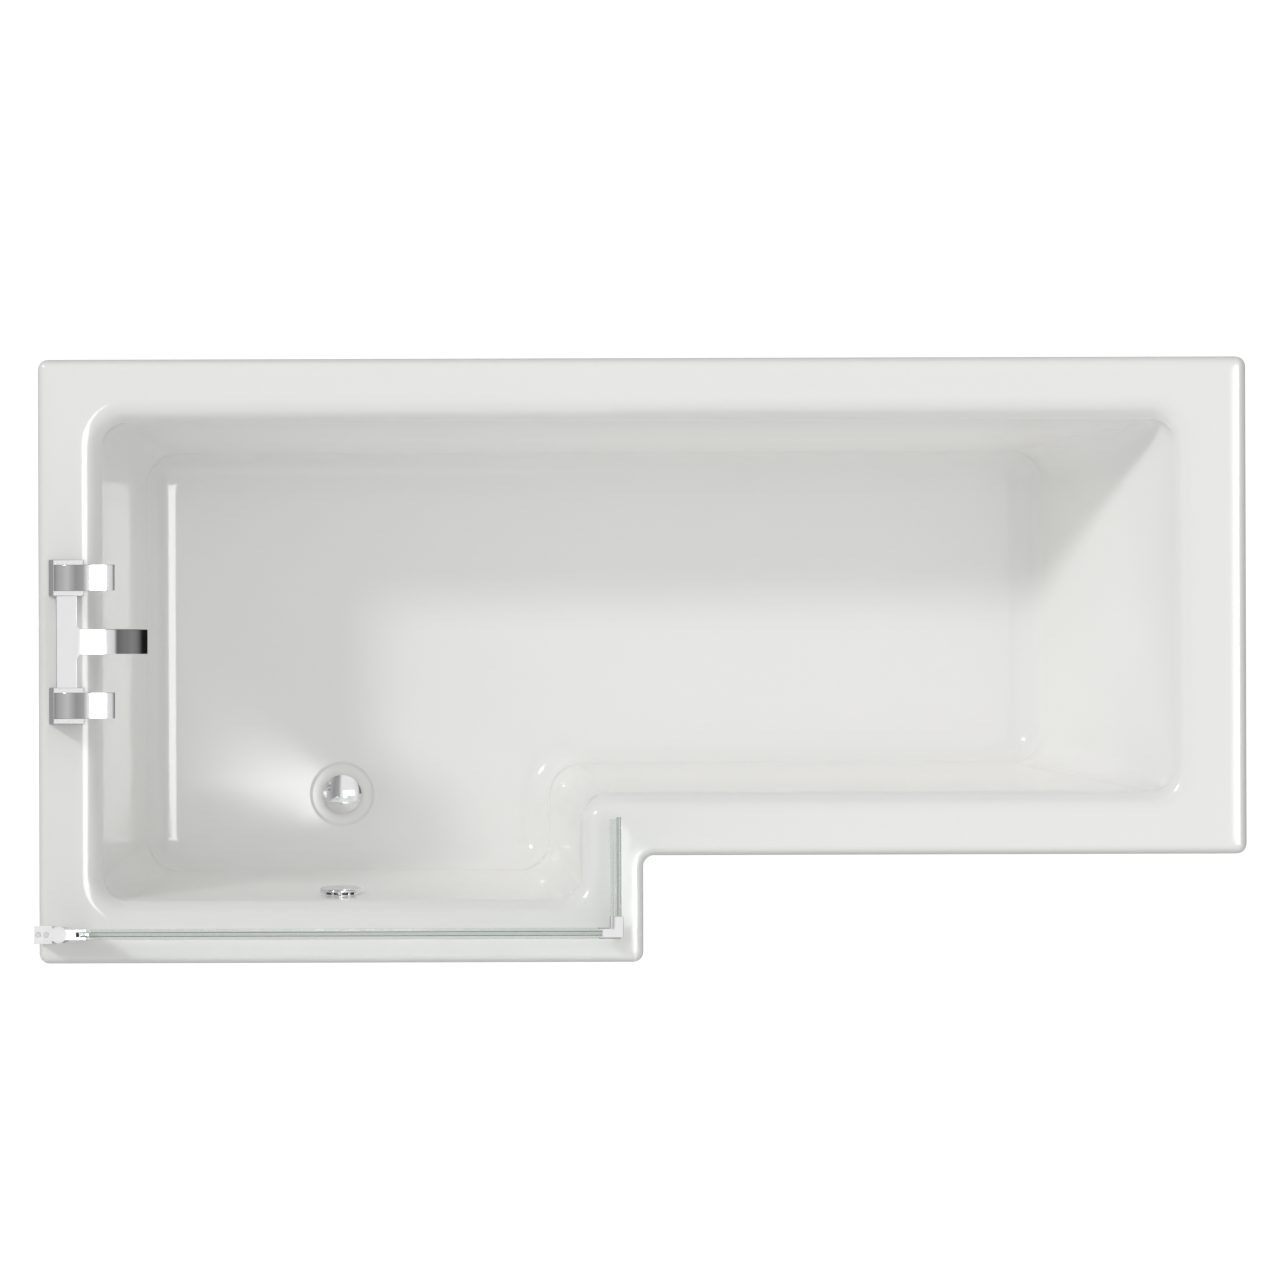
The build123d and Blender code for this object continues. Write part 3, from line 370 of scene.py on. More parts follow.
brass = mottled("turned brass", (0.72, 0.53, 0.25), (0.62, 0.45, 0.2), 0.28, 0.12, broad=60.0, bump=0.05,
                Metallic=1.0)
timber = drawn("planed timber", (0.72, 0.53, 0.32), (0.55, 0.37, 0.2), (6, 140, 140), 0.6, 0.15, bump=0.3)
board = mottled("particle board", (0.62, 0.5, 0.35), (0.45, 0.34, 0.22), 0.75, 0.1, broad=320.0, bump=0.5)
screw_steel = mottled("screw steel", (0.35, 0.35, 0.36), (0.25, 0.25, 0.26), 0.3, 0.1, bump=0.05,
                      Metallic=1.0)


def clear_material(name, colour, roughness, index):
    """Clear glass or strip. Shadow rays and rays that are already deep inside pass straight through."""
    material, tree, shader = new_material(name)
    noise, place_on = tree.nodes.new("ShaderNodeTexNoise"), tree.nodes.new("ShaderNodeTexCoord")
    noise.inputs["Scale"].default_value = 3.0
    shade = tree.nodes.new("ShaderNodeMix")
    shade.data_type = "RGBA"
    shade.inputs["A"].default_value = (*colour, 1)
    shade.inputs["B"].default_value = (*[c * 0.985 for c in colour], 1)
    link(tree, place_on, "Object", noise, "Vector")
    link(tree, noise, "Fac", shade, "Factor")
    link(tree, shade, "Result", shader, "Base Color")
    shader.inputs["Roughness"].default_value = roughness
    shader.inputs["IOR"].default_value = index
    shader.inputs["Transmission Weight"].default_value = 1.0
    clear, path = tree.nodes.new("ShaderNodeBsdfTransparent"), tree.nodes.new("ShaderNodeLightPath")
    clear.inputs["Color"].default_value = (*colour, 1)
    deep = math_node(tree, "GREATER_THAN", (path, "Transmission Depth"), 1.5)
    passes = math_node(tree, "MAXIMUM", (path, "Is Shadow Ray"), (deep, 0))
    mix = tree.nodes.new("ShaderNodeMixShader")
    link(tree, passes, 0, mix, 0)
    tree.links.new(shader.outputs[0], mix.inputs[1])
    tree.links.new(clear.outputs[0], mix.inputs[2])
    tree.links.new(mix.outputs[0], tree.nodes["Material Output"].inputs["Surface"])
    return material


pane_glass = clear_material("clear pane", (0.93, 0.965, 0.95), 0.0, 1.5)
clear_strip = clear_material("clear soft strip", (0.9, 0.91, 0.9), 0.18, 1.42)
print(len(bpy.data.materials), "materials")

# %% [markdown]
# ## The bath shell
# A bath like this is one sheet of acrylic drawn into a mould, so it is a single skin with a rolled rim.
# We describe its section once for each side, as pairs of inset from the outline and height, and then
# carry that section round the L. At each corner the two neighbouring sections blend along an arc. The
# head end has a section of its own, because its wall leans back as a backrest.

# %% Outline and sections of the shell
shell_low, shell_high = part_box("bath_shell")
RIM_TOP = shell_high.z / MM
HALF_X, HALF_Y = shell_high.x / MM, shell_high.y / MM
STEP_X, NARROW_Y = 0.0, -275.0
SHELL = 6.0
FLOOR_TOP = RIM_TOP - 390.0
SKIRT_BOTTOM = 525.0
OUTER_ROLL = 12.0
SIDE_ROLL, TAP_ROLL, HEAD_ROLL = 33.0, 30.0, 28.0
SIDE_FLAT, TAP_FLAT, HEAD_FLAT = 56.0, 61.0, 76.0
SIDE_FOOT, TAP_FOOT, HEAD_FOOT = 134.8, 157.5, 297.0
SIDE_LEAN = atan2(SIDE_FOOT - 84.8, 390.0)
TAP_LEAN = atan2(TAP_FOOT - 84.8, 390.0)
HEAD_LEAN = atan2(HEAD_FOOT - 93.8, 390.0)
SIDE_FILLET, TAP_FILLET, HEAD_FILLET = 45.0, 42.5, 60.0
COUNTS = {"skirt": 4, "edge": 9, "flat": 6, "roll": 16, "wall": 14, "fillet": 20}


def section(flat_end, roll, foot, lean, fillet):
    """Insets and heights from the skirt to the floor: skirt, outer roll, flat rim, inner roll, wall, fillet.

    The wall is a straight line that leans back by the angle lean and would meet the floor at the inset
    foot. The roll and the fillet are arcs tangent to it."""
    edge = arc((OUTER_ROLL, RIM_TOP - OUTER_ROLL), OUTER_ROLL, 180, 90, COUNTS["edge"])
    skirt = np.linspace((0, SKIRT_BOTTOM), edge[0], COUNTS["skirt"])[:-1]
    over = arc((flat_end, RIM_TOP - roll), roll, 90, np.degrees(lean), COUNTS["roll"])
    flat = np.linspace(edge[-1], over[0], COUNTS["flat"])[1:-1]
    slope = np.tan(lean)
    centre = (foot - slope * fillet + fillet / cos(lean), FLOOR_TOP + fillet)
    under = arc(centre, fillet, 180 + np.degrees(lean), 270, COUNTS["fillet"])
    wall = np.linspace(over[-1], under[0], COUNTS["wall"])[1:-1]
    return np.concatenate([skirt, edge, flat, over, wall, under])


normal = section(SIDE_FLAT, SIDE_ROLL, SIDE_FOOT, SIDE_LEAN, SIDE_FILLET)
tap_end = section(TAP_FLAT, TAP_ROLL, TAP_FOOT, TAP_LEAN, TAP_FILLET)
head_end = section(HEAD_FLAT, HEAD_ROLL, HEAD_FOOT, HEAD_LEAN, HEAD_FILLET)
# Sides run anticlockwise from the wide front: wide front, step, narrow front, head, back, tap end.
sides = [normal, normal, normal, head_end, normal, tap_end]
levels = len(normal)
print("section levels", levels)


# %% Corner radii, level by level
def radii(values):
    """A corner radius for every level, straight between the values at the section's joints."""
    c = COUNTS
    joints = np.cumsum([0, c["skirt"] - 1, c["edge"] - 1, c["flat"] - 1, c["roll"] - 1, c["wall"] - 1,
                        c["fillet"] - 1])
    return np.interp(np.arange(levels), joints, values)


outward_radius = radii([15, 15, 3, 62, 34, 48, 8])
inward_radius = radii([15, 15, 27, 13, 46, 42, 86])


# %% The shell's grid
def shell_grid():
    """Rows are levels and columns go round the L. Straights are lines, and corners are arcs.

    A point of a corner arc is its centre plus the radius times a turning pair of unit vectors, and its
    height runs smoothly from the height of the side before to that of the side after."""
    inset = np.stack([s[:, 0] for s in sides], axis=1)
    height = np.stack([s[:, 1] for s in sides], axis=1)
    wide_y, step_x, narrow_y = -HALF_Y + inset[:, 0], STEP_X - inset[:, 1], NARROW_Y + inset[:, 2]
    high_x, high_y, low_x = HALF_X - inset[:, 3], HALF_Y - inset[:, 4], -HALF_X + inset[:, 5]
    corners = [(low_x, wide_y), (step_x, wide_y), (step_x, narrow_y),
               (high_x, narrow_y), (high_x, high_y), (low_x, high_y)]
    directions = np.array([(1, 0), (0, 1), (1, 0), (0, 1), (-1, 0), (0, -1)], float)
    turn = np.linspace(0, np.pi / 2, 21)
    ease = (1 - np.cos(2 * turn)) / 2
    arcs = []
    for i, (x, y) in enumerate(corners):
        coming, going = directions[i - 1], directions[i]
        radius = inward_radius if i == 2 else outward_radius
        centre = np.stack([x, y], axis=1) + radius[:, None] * (going - coming)
        spin = -np.cos(turn)[:, None] * going + np.sin(turn)[:, None] * coming
        flat = centre[:, None, :] + radius[:, None, None] * spin
        z = height[:, i - 1, None] + (height[:, i] - height[:, i - 1])[:, None] * ease
        arcs.append(np.concatenate([flat, z[:, :, None]], axis=2))
    columns = []
    along = np.linspace(0, 1, 14)[1:-1][None, :, None]
    for i, here in enumerate(arcs):
        following = arcs[(i + 1) % 6]
        start, end = here[:, -1:, :], following[:, :1, :]
        columns += [here, start + (end - start) * along]
    return np.concatenate(columns, axis=1)


shell_points = shell_grid()
print("shell grid", shell_points.shape)

# %% [markdown]
# ## The floor and the waste recess
# The floor is a plane, so it needs no grid: the space between the last row of the shell and the rim of
# the waste recess is filled with triangles. The recess itself is a turned profile, dished by a few
# millimetres towards the waste, and its lip catches the light as a thin crescent.

# %% Join shell, floor and recess
waste_low, waste_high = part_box("waste_plug")
WASTE_X = (waste_low.x + waste_high.x) / 2 / MM
WASTE_Y = (waste_low.y + waste_high.y) / 2 / MM


def recess_grid(sides_round=72):
    """The recess, from a soft lip at the floor down to the waste hole."""
    lip = arc((46.5, FLOOR_TOP - 2.5), 2.5, 90, 140, 5)
    bowl = arc((40.5, FLOOR_TOP + 1.0), 4.0, -50, -90, 5)
    hole = [(22.5, FLOOR_TOP - 3.0), (22.5, FLOOR_TOP - 7.0)]
    radius, height = np.concatenate([lip, bowl, hole]).T
    turn = np.linspace(0, 2 * np.pi, sides_round, endpoint=False)
    x = WASTE_X + radius[:, None] * np.cos(turn)
    y = WASTE_Y + radius[:, None] * np.sin(turn)
    return np.stack([x, y, np.broadcast_to(height[:, None], x.shape)], axis=2)


def make_shell():
    """One sheet: the shell's grid, the flat floor and the recess, given its thickness by Solidify."""
    recess = recess_grid()
    rows, columns = shell_points.shape[:2]
    first = rows * columns
    points = np.concatenate([shell_points.reshape(-1, 3), recess.reshape(-1, 3)])
    faces = grid_faces(rows, columns, wrap_columns=True)
    faces += grid_faces(*recess.shape[:2], wrap_columns=True, first=first)
    piece = add_mesh("bath_skin", [(points, faces)], recalculate=False)
    sheet = bmesh.new()
    sheet.from_mesh(piece.data)
    sheet.verts.ensure_lookup_table()
    floor_rim = [(rows - 1) * columns + c for c in range(columns)]
    lip = [first + c for c in range(recess.shape[1])]
    edges = []
    for loop in (floor_rim, lip):
        for a, b in zip(loop, loop[1:] + loop[:1]):
            edges.append(sheet.edges.get((sheet.verts[a], sheet.verts[b])))
    bmesh.ops.triangle_fill(sheet, edges=edges, use_beauty=True, normal=(0, 0, 1))
    bmesh.ops.recalc_face_normals(sheet, faces=sheet.faces)
    flat = [f for f in sheet.faces if f.calc_center_median().z > (RIM_TOP - 0.01) * MM]
    if flat[0].normal.z < 0:
        bmesh.ops.reverse_faces(sheet, faces=sheet.faces)
    sheet.to_mesh(piece.data)
    sheet.free()
    piece.data.polygons.foreach_set("use_smooth", np.ones(len(piece.data.polygons), bool))
    wall = piece.modifiers.new("sheet thickness", "SOLIDIFY")
    wall.thickness, wall.offset, wall.use_even_offset = SHELL * MM, -1.0, False
    return piece


bath_skin = place(make_shell(), "bath", "acrylic", acrylic, "bath_shell")

# %% [markdown]
# ## The front panel
# Below the rim a moulded panel closes the front. In plan it is a thin strip that runs along the wide
# part, turns in at the step and runs on along the narrow part.

# %% Panel
PANEL_INSET, PANEL = 10.0, 5.0
panel_low, panel_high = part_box("front_panel")


def panel_outline():
    """The panel's plan: out along its face and back along its inside, with an outward and an inward bend."""
    end, front, back = panel_high.x / MM, -HALF_Y + PANEL_INSET, NARROW_Y + PANEL_INSET
    step = STEP_X - PANEL_INSET
    outward, inward = (step - 8, front + 8), (step + 25, back - 25)
    return np.concatenate([[(-end, front)], arc(outward, 8, -90, 0, 9), arc(inward, 25, 180, 90, 13),
                           [(end, back), (end, back + PANEL)], arc(inward, 25 + PANEL, 90, 180, 13),
                           arc(outward, 8 - PANEL, 0, -90, 9), [(-end, front + PANEL)]])


panel = add_mesh("panel_skin", [prism(panel_outline(), panel_low.z / MM, panel_high.z / MM)])
soften(panel, 1.2)
place(panel, "bath", "acrylic", acrylic, "front_panel")

# %% [markdown]
# ## Waste and overflow
# The plug is a shallow chrome dome. The overflow cover is a thin cup over a hole in the front wall, with
# slots round its upper edge that let the water through. Both are turned parts. The faces of the slots
# are simply left out of the grid, and Solidify gives the sheet that remains its thickness.

# %% Plug
plug_low, plug_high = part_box("waste_plug")


def plug_profile():
    """Stem, flat underside, a soft edge and a dome that is part of a sphere."""
    radius, top = (plug_high.x - plug_low.x) / 2 / MM, plug_high.z / MM
    rise, disc = 6.0, 2.0
    sphere = (radius ** 2 + rise ** 2) / (2 * rise)
    half_angle = np.degrees(np.arcsin(radius / sphere))
    dome = arc((0, top - sphere), sphere, 90 - half_angle * 0.985, 90, 24)
    under = top - rise - disc
    return np.concatenate([[(0, plug_low.z / MM), (4, plug_low.z / MM), (4, under), (radius - 0.6, under),
                            (radius, under + 0.6), (radius, under + disc)], dome])


plug = add_mesh("plug_dome", [turned(plug_profile(), (WASTE_X, WASTE_Y, 0), sides=96)])
place(plug, "plug", "chrome", chrome, "waste_plug")

# %% Overflow cover
cover_low, cover_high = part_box("overflow_cover")
OVERFLOW_X = (cover_low.x + cover_high.x) / 2 / MM
OVERFLOW_RADIUS = (cover_high.x - cover_low.x) / 2 / MM
OVERFLOW_Z = RIM_TOP - 100.0
COVER = 8.0
SLOTS, SLOT_HALF_ANGLE = (144, 168, 192, 216), 8


def cover_part(sides_round=120):
    """The cup as a grid with its slots left out. Turns are counted from the lowest point of the cup."""
    wall_y = -HALF_Y + SIDE_FOOT - np.tan(SIDE_LEAN) * (OVERFLOW_Z - FLOOR_TOP)
    bend = arc((OVERFLOW_RADIUS - 2, COVER - 2), 2, 0, 90, 7)
    profile = np.concatenate([[(OVERFLOW_RADIUS, 0.2), (OVERFLOW_RADIUS, 1.2), (OVERFLOW_RADIUS, 4.2)], bend,
                              [(14, COVER), (0, COVER)]])
    centre = (OVERFLOW_X, wall_y, OVERFLOW_Z)
    points = turned_grid(profile, centre, (0, cos(SIDE_LEAN), sin(SIDE_LEAN)), sides_round)
    faces = grid_faces(len(profile), sides_round, wrap_columns=True)
    turn = (np.arange(sides_round) + 0.5) * 360 / sides_round
    open_here = (np.abs(turn[:, None] - np.array(SLOTS)) < SLOT_HALF_ANGLE).any(axis=1)
    kept = []
    for k, face in enumerate(faces):
        row, column = divmod(k, sides_round)
        if row != 1 or not open_here[column]:
            kept.append(face)
    return points, kept


cover = add_mesh("overflow_cup", [cover_part()])
sheet = cover.modifiers.new("sheet thickness", "SOLIDIFY")
sheet.thickness, sheet.offset = 1.4 * MM, -1.0
place(cover, "bath", "chrome", chrome, "overflow_cover")

# %% [markdown]
# ## The bath filler
# Two square pillars stand on the rim and a bridge joins them. The spout is a flat bar that leaves the
# bridge level and bends down to its mouth. Each lever is a flat bar too, bowed like a bridge, on a round
# collar. So spout and levers come from one helper: a rounded rectangle carried along an arc.

# %% Tap body
tap_low, tap_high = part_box("tap_body")
spout_low, spout_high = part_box("tap_spout")
TAP_Y = (tap_low.y + tap_high.y) / 2 / MM
PILLAR_LENGTH, PILLAR_WIDTH = 49.0, 51.0
FACET_WIDTH, FACET_DROP = 6.5, 1.1
pillar_low_x, pillar_foot, pillar_top = tap_low.x / MM, tap_low.z / MM, tap_high.z / MM
PILLAR_X = pillar_low_x + PILLAR_LENGTH / 2
pillar_ys = [tap_low.y / MM + PILLAR_WIDTH / 2, tap_high.y / MM - PILLAR_WIDTH / 2]
BRIDGE, BRIDGE_INSIDE = (-825.0, -795.4, 610.0, 636.0), 20.0
pillar_high_x = pillar_low_x + PILLAR_LENGTH
facet = [(pillar_low_x, pillar_foot), (pillar_high_x, pillar_foot), (pillar_high_x, pillar_top),
         (pillar_low_x + FACET_WIDTH, pillar_top), (pillar_low_x, pillar_top - FACET_DROP)]
tap_parts = [prism(facet, y - PILLAR_WIDTH / 2, y + PILLAR_WIDTH / 2, axis="y") for y in pillar_ys]
x0, x1, z0, z1 = BRIDGE
bridge = [(x0, z0), (x1, z0), (x1, z1), (x0, z1)]
tap_parts.append(prism(bridge, pillar_ys[0] + BRIDGE_INSIDE, pillar_ys[1] - BRIDGE_INSIDE, axis="y"))
tap = add_mesh("tap_block", tap_parts, sharp=5)
soften(tap, 0.9)
flatten_shading(tap)
place(tap, "bath", "chrome", chrome, "tap_body")

# %% Spout
SPOUT, SPOUT_WIDTH, SPOUT_ROOT, SPOUT_DROP = 13.0, 36.0, 7.0, 40.0
SPOUT_BEND_X = -793.0
SPOUT_WALL = 3.0
# Stations inside the hollow mouth.
MOUTH = 10


def spout_part():
    """Stations along the level part, round the bend to the tip, and back up inside as the hollow mouth."""
    root_x, top = BRIDGE[1], BRIDGE[3]
    reach = spout_high.x / MM - SPOUT_BEND_X
    bend = (reach ** 2 + SPOUT_DROP ** 2) / (2 * SPOUT_DROP)
    turn = atan2(reach, bend - SPOUT_DROP)
    level = np.linspace(root_x - 1, SPOUT_BEND_X - 0.3, 14)
    angles = np.concatenate([np.zeros(len(level)), np.linspace(0, turn, 44),
                             np.linspace(turn, turn * 0.6, MOUTH)])
    mean = bend - SPOUT / 2
    x = np.concatenate([level, SPOUT_BEND_X + mean * np.sin(angles[len(level):])])
    z = top - bend + mean * np.cos(angles)
    t = np.clip(x - root_x, 0, SPOUT_ROOT)
    widths = SPOUT_WIDTH / 2 + SPOUT_ROOT - np.sqrt(SPOUT_ROOT ** 2 - (SPOUT_ROOT - t) ** 2)
    heights = np.full(len(x), SPOUT / 2)
    widths[-MOUTH:] -= SPOUT_WALL + 1
    heights[-MOUTH:] -= SPOUT_WALL
    normals = np.stack([np.sin(angles), np.cos(angles)], axis=1)
    return strap(np.stack([x, z], axis=1), normals, widths, heights, 1.2, TAP_Y)


spout = add_mesh("spout_bar", [spout_part()])
flatten_shading(spout)
place(spout, "bath", "chrome", chrome, "tap_spout")


# %% Levers
def lever_parts(node, y):
    """The bowed bar, with the collar clipped to run into it, and the spindle below."""
    low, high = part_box(node)
    thickness, rise, tip_rise, half_width = 5.0, 11.0, 6.0, (high.y - low.y) / 2 / MM
    half_chord = (high.x - low.x) / 2 / MM
    tilt = atan2(tip_rise, 2 * half_chord)
    bow = (half_chord ** 2 + rise ** 2) / (2 * rise)
    centre_x = (low.x + high.x) / 2 / MM + bow * sin(tilt) - rise * sin(tilt)
    centre_z = high.z / MM - thickness / 2 - bow
    half_angle = np.arcsin((half_chord - 1.2) / bow)
    angles = np.linspace(-half_angle, half_angle, 40) - tilt
    normals = np.stack([np.sin(angles), np.cos(angles)], axis=1)
    middles = np.array((centre_x, centre_z)) + bow * normals
    count = len(angles)
    bar = strap(middles, normals, np.full(count, half_width), np.full(count, thickness / 2), 0.9, y)
    base = pillar_top + 0.4
    collar = turned([(0, low.z / MM), (4, low.z / MM), (4, base), (14.4, base), (15, base + 0.6),
                     (15, high.z / MM), (0, high.z / MM)], (PILLAR_X, y, 0))
    bowed = centre_z + np.sqrt(bow ** 2 - (collar[0][:, :, 0] - centre_x) ** 2)
    collar[0][:, :, 2] = np.minimum(collar[0][:, :, 2], bowed)
    return [bar, collar]


for name, y in (("lever_right", pillar_ys[0]), ("lever_left", pillar_ys[1])):
    lever = add_mesh(name + "_bar", lever_parts(name, y))
    flatten_shading(lever)
    place(lever, name, "chrome", chrome, name)

# %% [markdown]
# ## The glass screen
# Everything here is cut from long stock: an extruded wall channel with a groove, an extruded hinge tube
# with a jaw for the glass, and two panes with ground edges. So each is an outline stretched along Z.
# The arms, the corner pieces and the strips keep their own shape, with softened edges.

# %% Channel, carrier and panes
wall_low, wall_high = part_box("wall_profile")
carrier_low, carrier_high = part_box("glass_carrier")
glass_low, glass_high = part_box("screen_glass")
return_low, return_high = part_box("return_glass")
SCREEN_Y = (wall_low.y + wall_high.y) / 2 / MM
PIVOT_RADIUS, PIVOT_GROOVE = 11.2, 12.2
PIVOT_X = carrier_low.x / MM + PIVOT_RADIUS
GLASS, RAIL_THICKNESS = 6.0, 15.5


def wall_outline():
    """A rectangle whose free side has a round groove for the hinge tube."""
    x0, x1, half = wall_low.x / MM, wall_high.x / MM, (wall_high.y - wall_low.y) / 2 / MM
    open_angle = np.degrees(np.arccos((PIVOT_X - x1) / PIVOT_GROOVE))
    groove = arc((PIVOT_X, SCREEN_Y), PIVOT_GROOVE, 180 + open_angle, 180 - open_angle, 15)
    return np.concatenate([[(x0, SCREEN_Y - half), (x1, SCREEN_Y - half)], groove,
                           [(x1, SCREEN_Y + half), (x0, SCREEN_Y + half)]])


def carrier_outline(jaw):
    """The tube with its flat jaw. With jaw set, the slot for the pane is cut into its end."""
    half, end = RAIL_THICKNESS / 2, carrier_high.x / MM
    meet = np.degrees(np.arcsin(half / PIVOT_RADIUS))
    tube = arc((PIVOT_X, SCREEN_Y), PIVOT_RADIUS, meet, 360 - meet, 40)
    depth = glass_low.x / MM
    slot = [(end, -GLASS / 2), (depth, -GLASS / 2), (depth, GLASS / 2), (end, GLASS / 2)]
    tip = [(end, -half)] + (slot if jaw else []) + [(end, half)]
    return np.concatenate([tube, [(x, SCREEN_Y + y) for x, y in tip]])


channel = add_mesh("wall_channel", [prism(wall_outline(), wall_low.z / MM, wall_high.z / MM)])
soften(channel, 0.8)
place(channel, "bath", "anodised", anodised, "wall_profile")
glass_foot = glass_low.z / MM
carrier = add_mesh("hinge_carrier", [prism(carrier_outline(False), carrier_low.z / MM, glass_foot - 0.01),
                                     prism(carrier_outline(True), glass_foot, carrier_high.z / MM)])
soften(carrier, 0.7)
place(carrier, "screen", "anodised", anodised, "glass_carrier")
for name, low, high in (("screen_glass", glass_low, glass_high), ("return_glass", return_low, return_high)):
    outline = [(low.x, low.y), (high.x, low.y), (high.x, high.y), (low.x, high.y)]
    pane = add_mesh(name + "_pane", [prism(np.array(outline) / MM, low.z / MM, high.z / MM)])
    soften(pane, 0.7)
    place(pane, "screen", "clear_glass", pane_glass, name)

# %% Arms, corner pieces and strips
for node, width, body, slot, finish in (
        ("pivot_arms", 1.0, "bath", "grey_plastic", pale_plastic),
        ("corner_brackets", 2.2, "screen", "grey_plastic", pale_plastic),
        ("screen_seal", 1.0, "screen", "clear_seal", clear_strip),
        ("return_seal", 1.0, "screen", "clear_seal", clear_strip)):
    place(soft_copy(node + "_soft", node, width), body, slot, finish, node)

# %% [markdown]
# ## Pieces that keep their CAD shape
# Rails, rods, pads, timber, pipes and nuts are plain stock whose CAD shape is already right. They only
# get their finishes.

# %% Finishes for the rest
KEPT = {
    zinc: ["cradle_rail_tap", "cradle_rail_middle", "cradle_rail_head", "leg_nuts", "wall_brackets",
           "bracket_screws"],
    thread: [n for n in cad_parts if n.startswith("leg_rod_")],
    black_plastic: [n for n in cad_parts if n.startswith("foot_pad_")],
    timber: [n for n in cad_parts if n.startswith(("rim_batten_", "panel_batten_"))],
    board: ["base_board"],
    chrome: ["waste_flange", "panel_screws"],
    brass: ["tap_tails", "tap_back_nuts", "valve_cartridges"],
    white_plastic: ["waste_body", "trap_nut", "trap_body", "overflow_body", "overflow_pipe"],
    pale_plastic: ["plug_catch", "flow_insert"],
    rubber: ["waste_seal", "overflow_seal", "tap_base_seals"],
    screw_steel: ["profile_screws"],
}
for finish, nodes in KEPT.items():
    for node in nodes:
        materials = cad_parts[node].data.materials
        materials.clear()
        materials.append(finish)
print(sum(len(nodes) for nodes in KEPT.values()), "pieces keep their CAD shape")

# %% [markdown]
# ## Floor, light and camera
# The bath stands on a plain white floor. A broad sun from the back left gives the soft shadows inside
# the basin. A bright card a little to the head side of the zenith draws the white lines on the rolled
# edges and the chrome. The camera is very far off with a very long lens, so the view is straight down.

# %% Floor
# The floor looks almost white, but lights the bath from below only a little.
FLOOR_GLOW = 0.12


def in_view(tree):
    """1 for a ray that comes from the camera, straight or through glass, else 0."""
    path = tree.nodes.new("ShaderNodeLightPath")
    through = math_node(tree, "MAXIMUM", (path, "Is Camera Ray"), (path, "Is Transmission Ray"))
    unspent = math_node(tree, "LESS_THAN", (path, "Diffuse Depth"), 0.5)
    return math_node(tree, "MULTIPLY", (through, 0), (unspent, 0))


floor_points = [(-9000, -9000, -1), (9000, -9000, -1), (9000, 9000, -1), (-9000, 9000, -1)]
floor = add_mesh("studio_floor", [(floor_points, [[0, 1, 2, 3]])], recalculate=False)
floor_paint, tree, shader = new_material("studio floor")
speckle = tree.nodes.new("ShaderNodeTexNoise")
speckle.inputs["Scale"].default_value = 2.0
tone = tree.nodes.new("ShaderNodeMapRange")
tone.inputs["To Min"].default_value, tone.inputs["To Max"].default_value = 0.9, 0.93
link(tree, speckle, "Fac", tone, "Value")
glow = tree.nodes.new("ShaderNodeMix")
glow.inputs["A"].default_value = FLOOR_GLOW
link(tree, in_view(tree), 0, glow, "Factor")
link(tree, tone, "Result", glow, "B")
link(tree, glow, "Result", shader, "Emission Strength")
shader.inputs["Base Color"].default_value = (0.25, 0.25, 0.25, 1)
shader.inputs["Roughness"].default_value = 0.9
shader.inputs["Emission Color"].default_value = (1, 1, 1, 1)
floor.data.materials.append(floor_paint)


# %% Lights
def aim(thing, position, target):
    """Puts a lamp or camera at a position and turns it towards a target."""
    thing.location = position
    thing.rotation_euler = (Vector(target) - Vector(position)).to_track_quat("-Z", "Y").to_euler()


def add_light(name, kind, position, target, **settings):
    """A lamp with its settings, aimed at a target."""
    data = bpy.data.lights.new(name, kind)
    for key, value in settings.items():
        setattr(data, key, value)
    lamp = bpy.data.objects.new(name, data)
    bpy.context.scene.collection.objects.link(lamp)
    aim(lamp, position, target)
    return lamp


key = add_light("key sun", "SUN", (-10.2, 6.8, 10.0), (0, 0, 0), energy=0.70, angle=radians(7))
fill = add_light("front fill", "AREA", (0.0, -5.0, 4.0), (0, 0, 0.3), shape="RECTANGLE", size=4.0, size_y=2.0,
                 energy=18.0)
fill.visible_glossy = False
fill.visible_camera = False


def ramp(tree, stops):
    """A ramp of grey values. Each stop is a position and a value."""
    node = tree.nodes.new("ShaderNodeValToRGB")
    elements = node.color_ramp.elements
    for k, (position, value) in enumerate(stops):
        stop = elements[k] if k < 2 else elements.new(1.0)
        stop.position, stop.color = position, (value, value, value, 1)
    return node


def set_range(node, from_min, from_max, to_min, to_max):
    """The four ends of a Map Range node."""
    ends = {"From Min": from_min, "From Max": from_max, "To Min": to_min, "To Max": to_max}
    for label, value in ends.items():
        node.inputs[label].default_value = value


def sky_angles(tree, given):
    """A direction's X, Y and Z, and its angle in the XZ plane, 0 at the tap's horizon and 1 at the head's."""
    split = tree.nodes.new("ShaderNodeSeparateXYZ")
    link(tree, given, "Generated", split, "Vector")
    angle = math_node(tree, "ARCTAN2", (split, "X"), (split, "Z"))
    scaled = math_node(tree, "MULTIPLY", (angle, 0), 1 / np.pi)
    return split, math_node(tree, "ADD", (scaled, 0), 0.5)


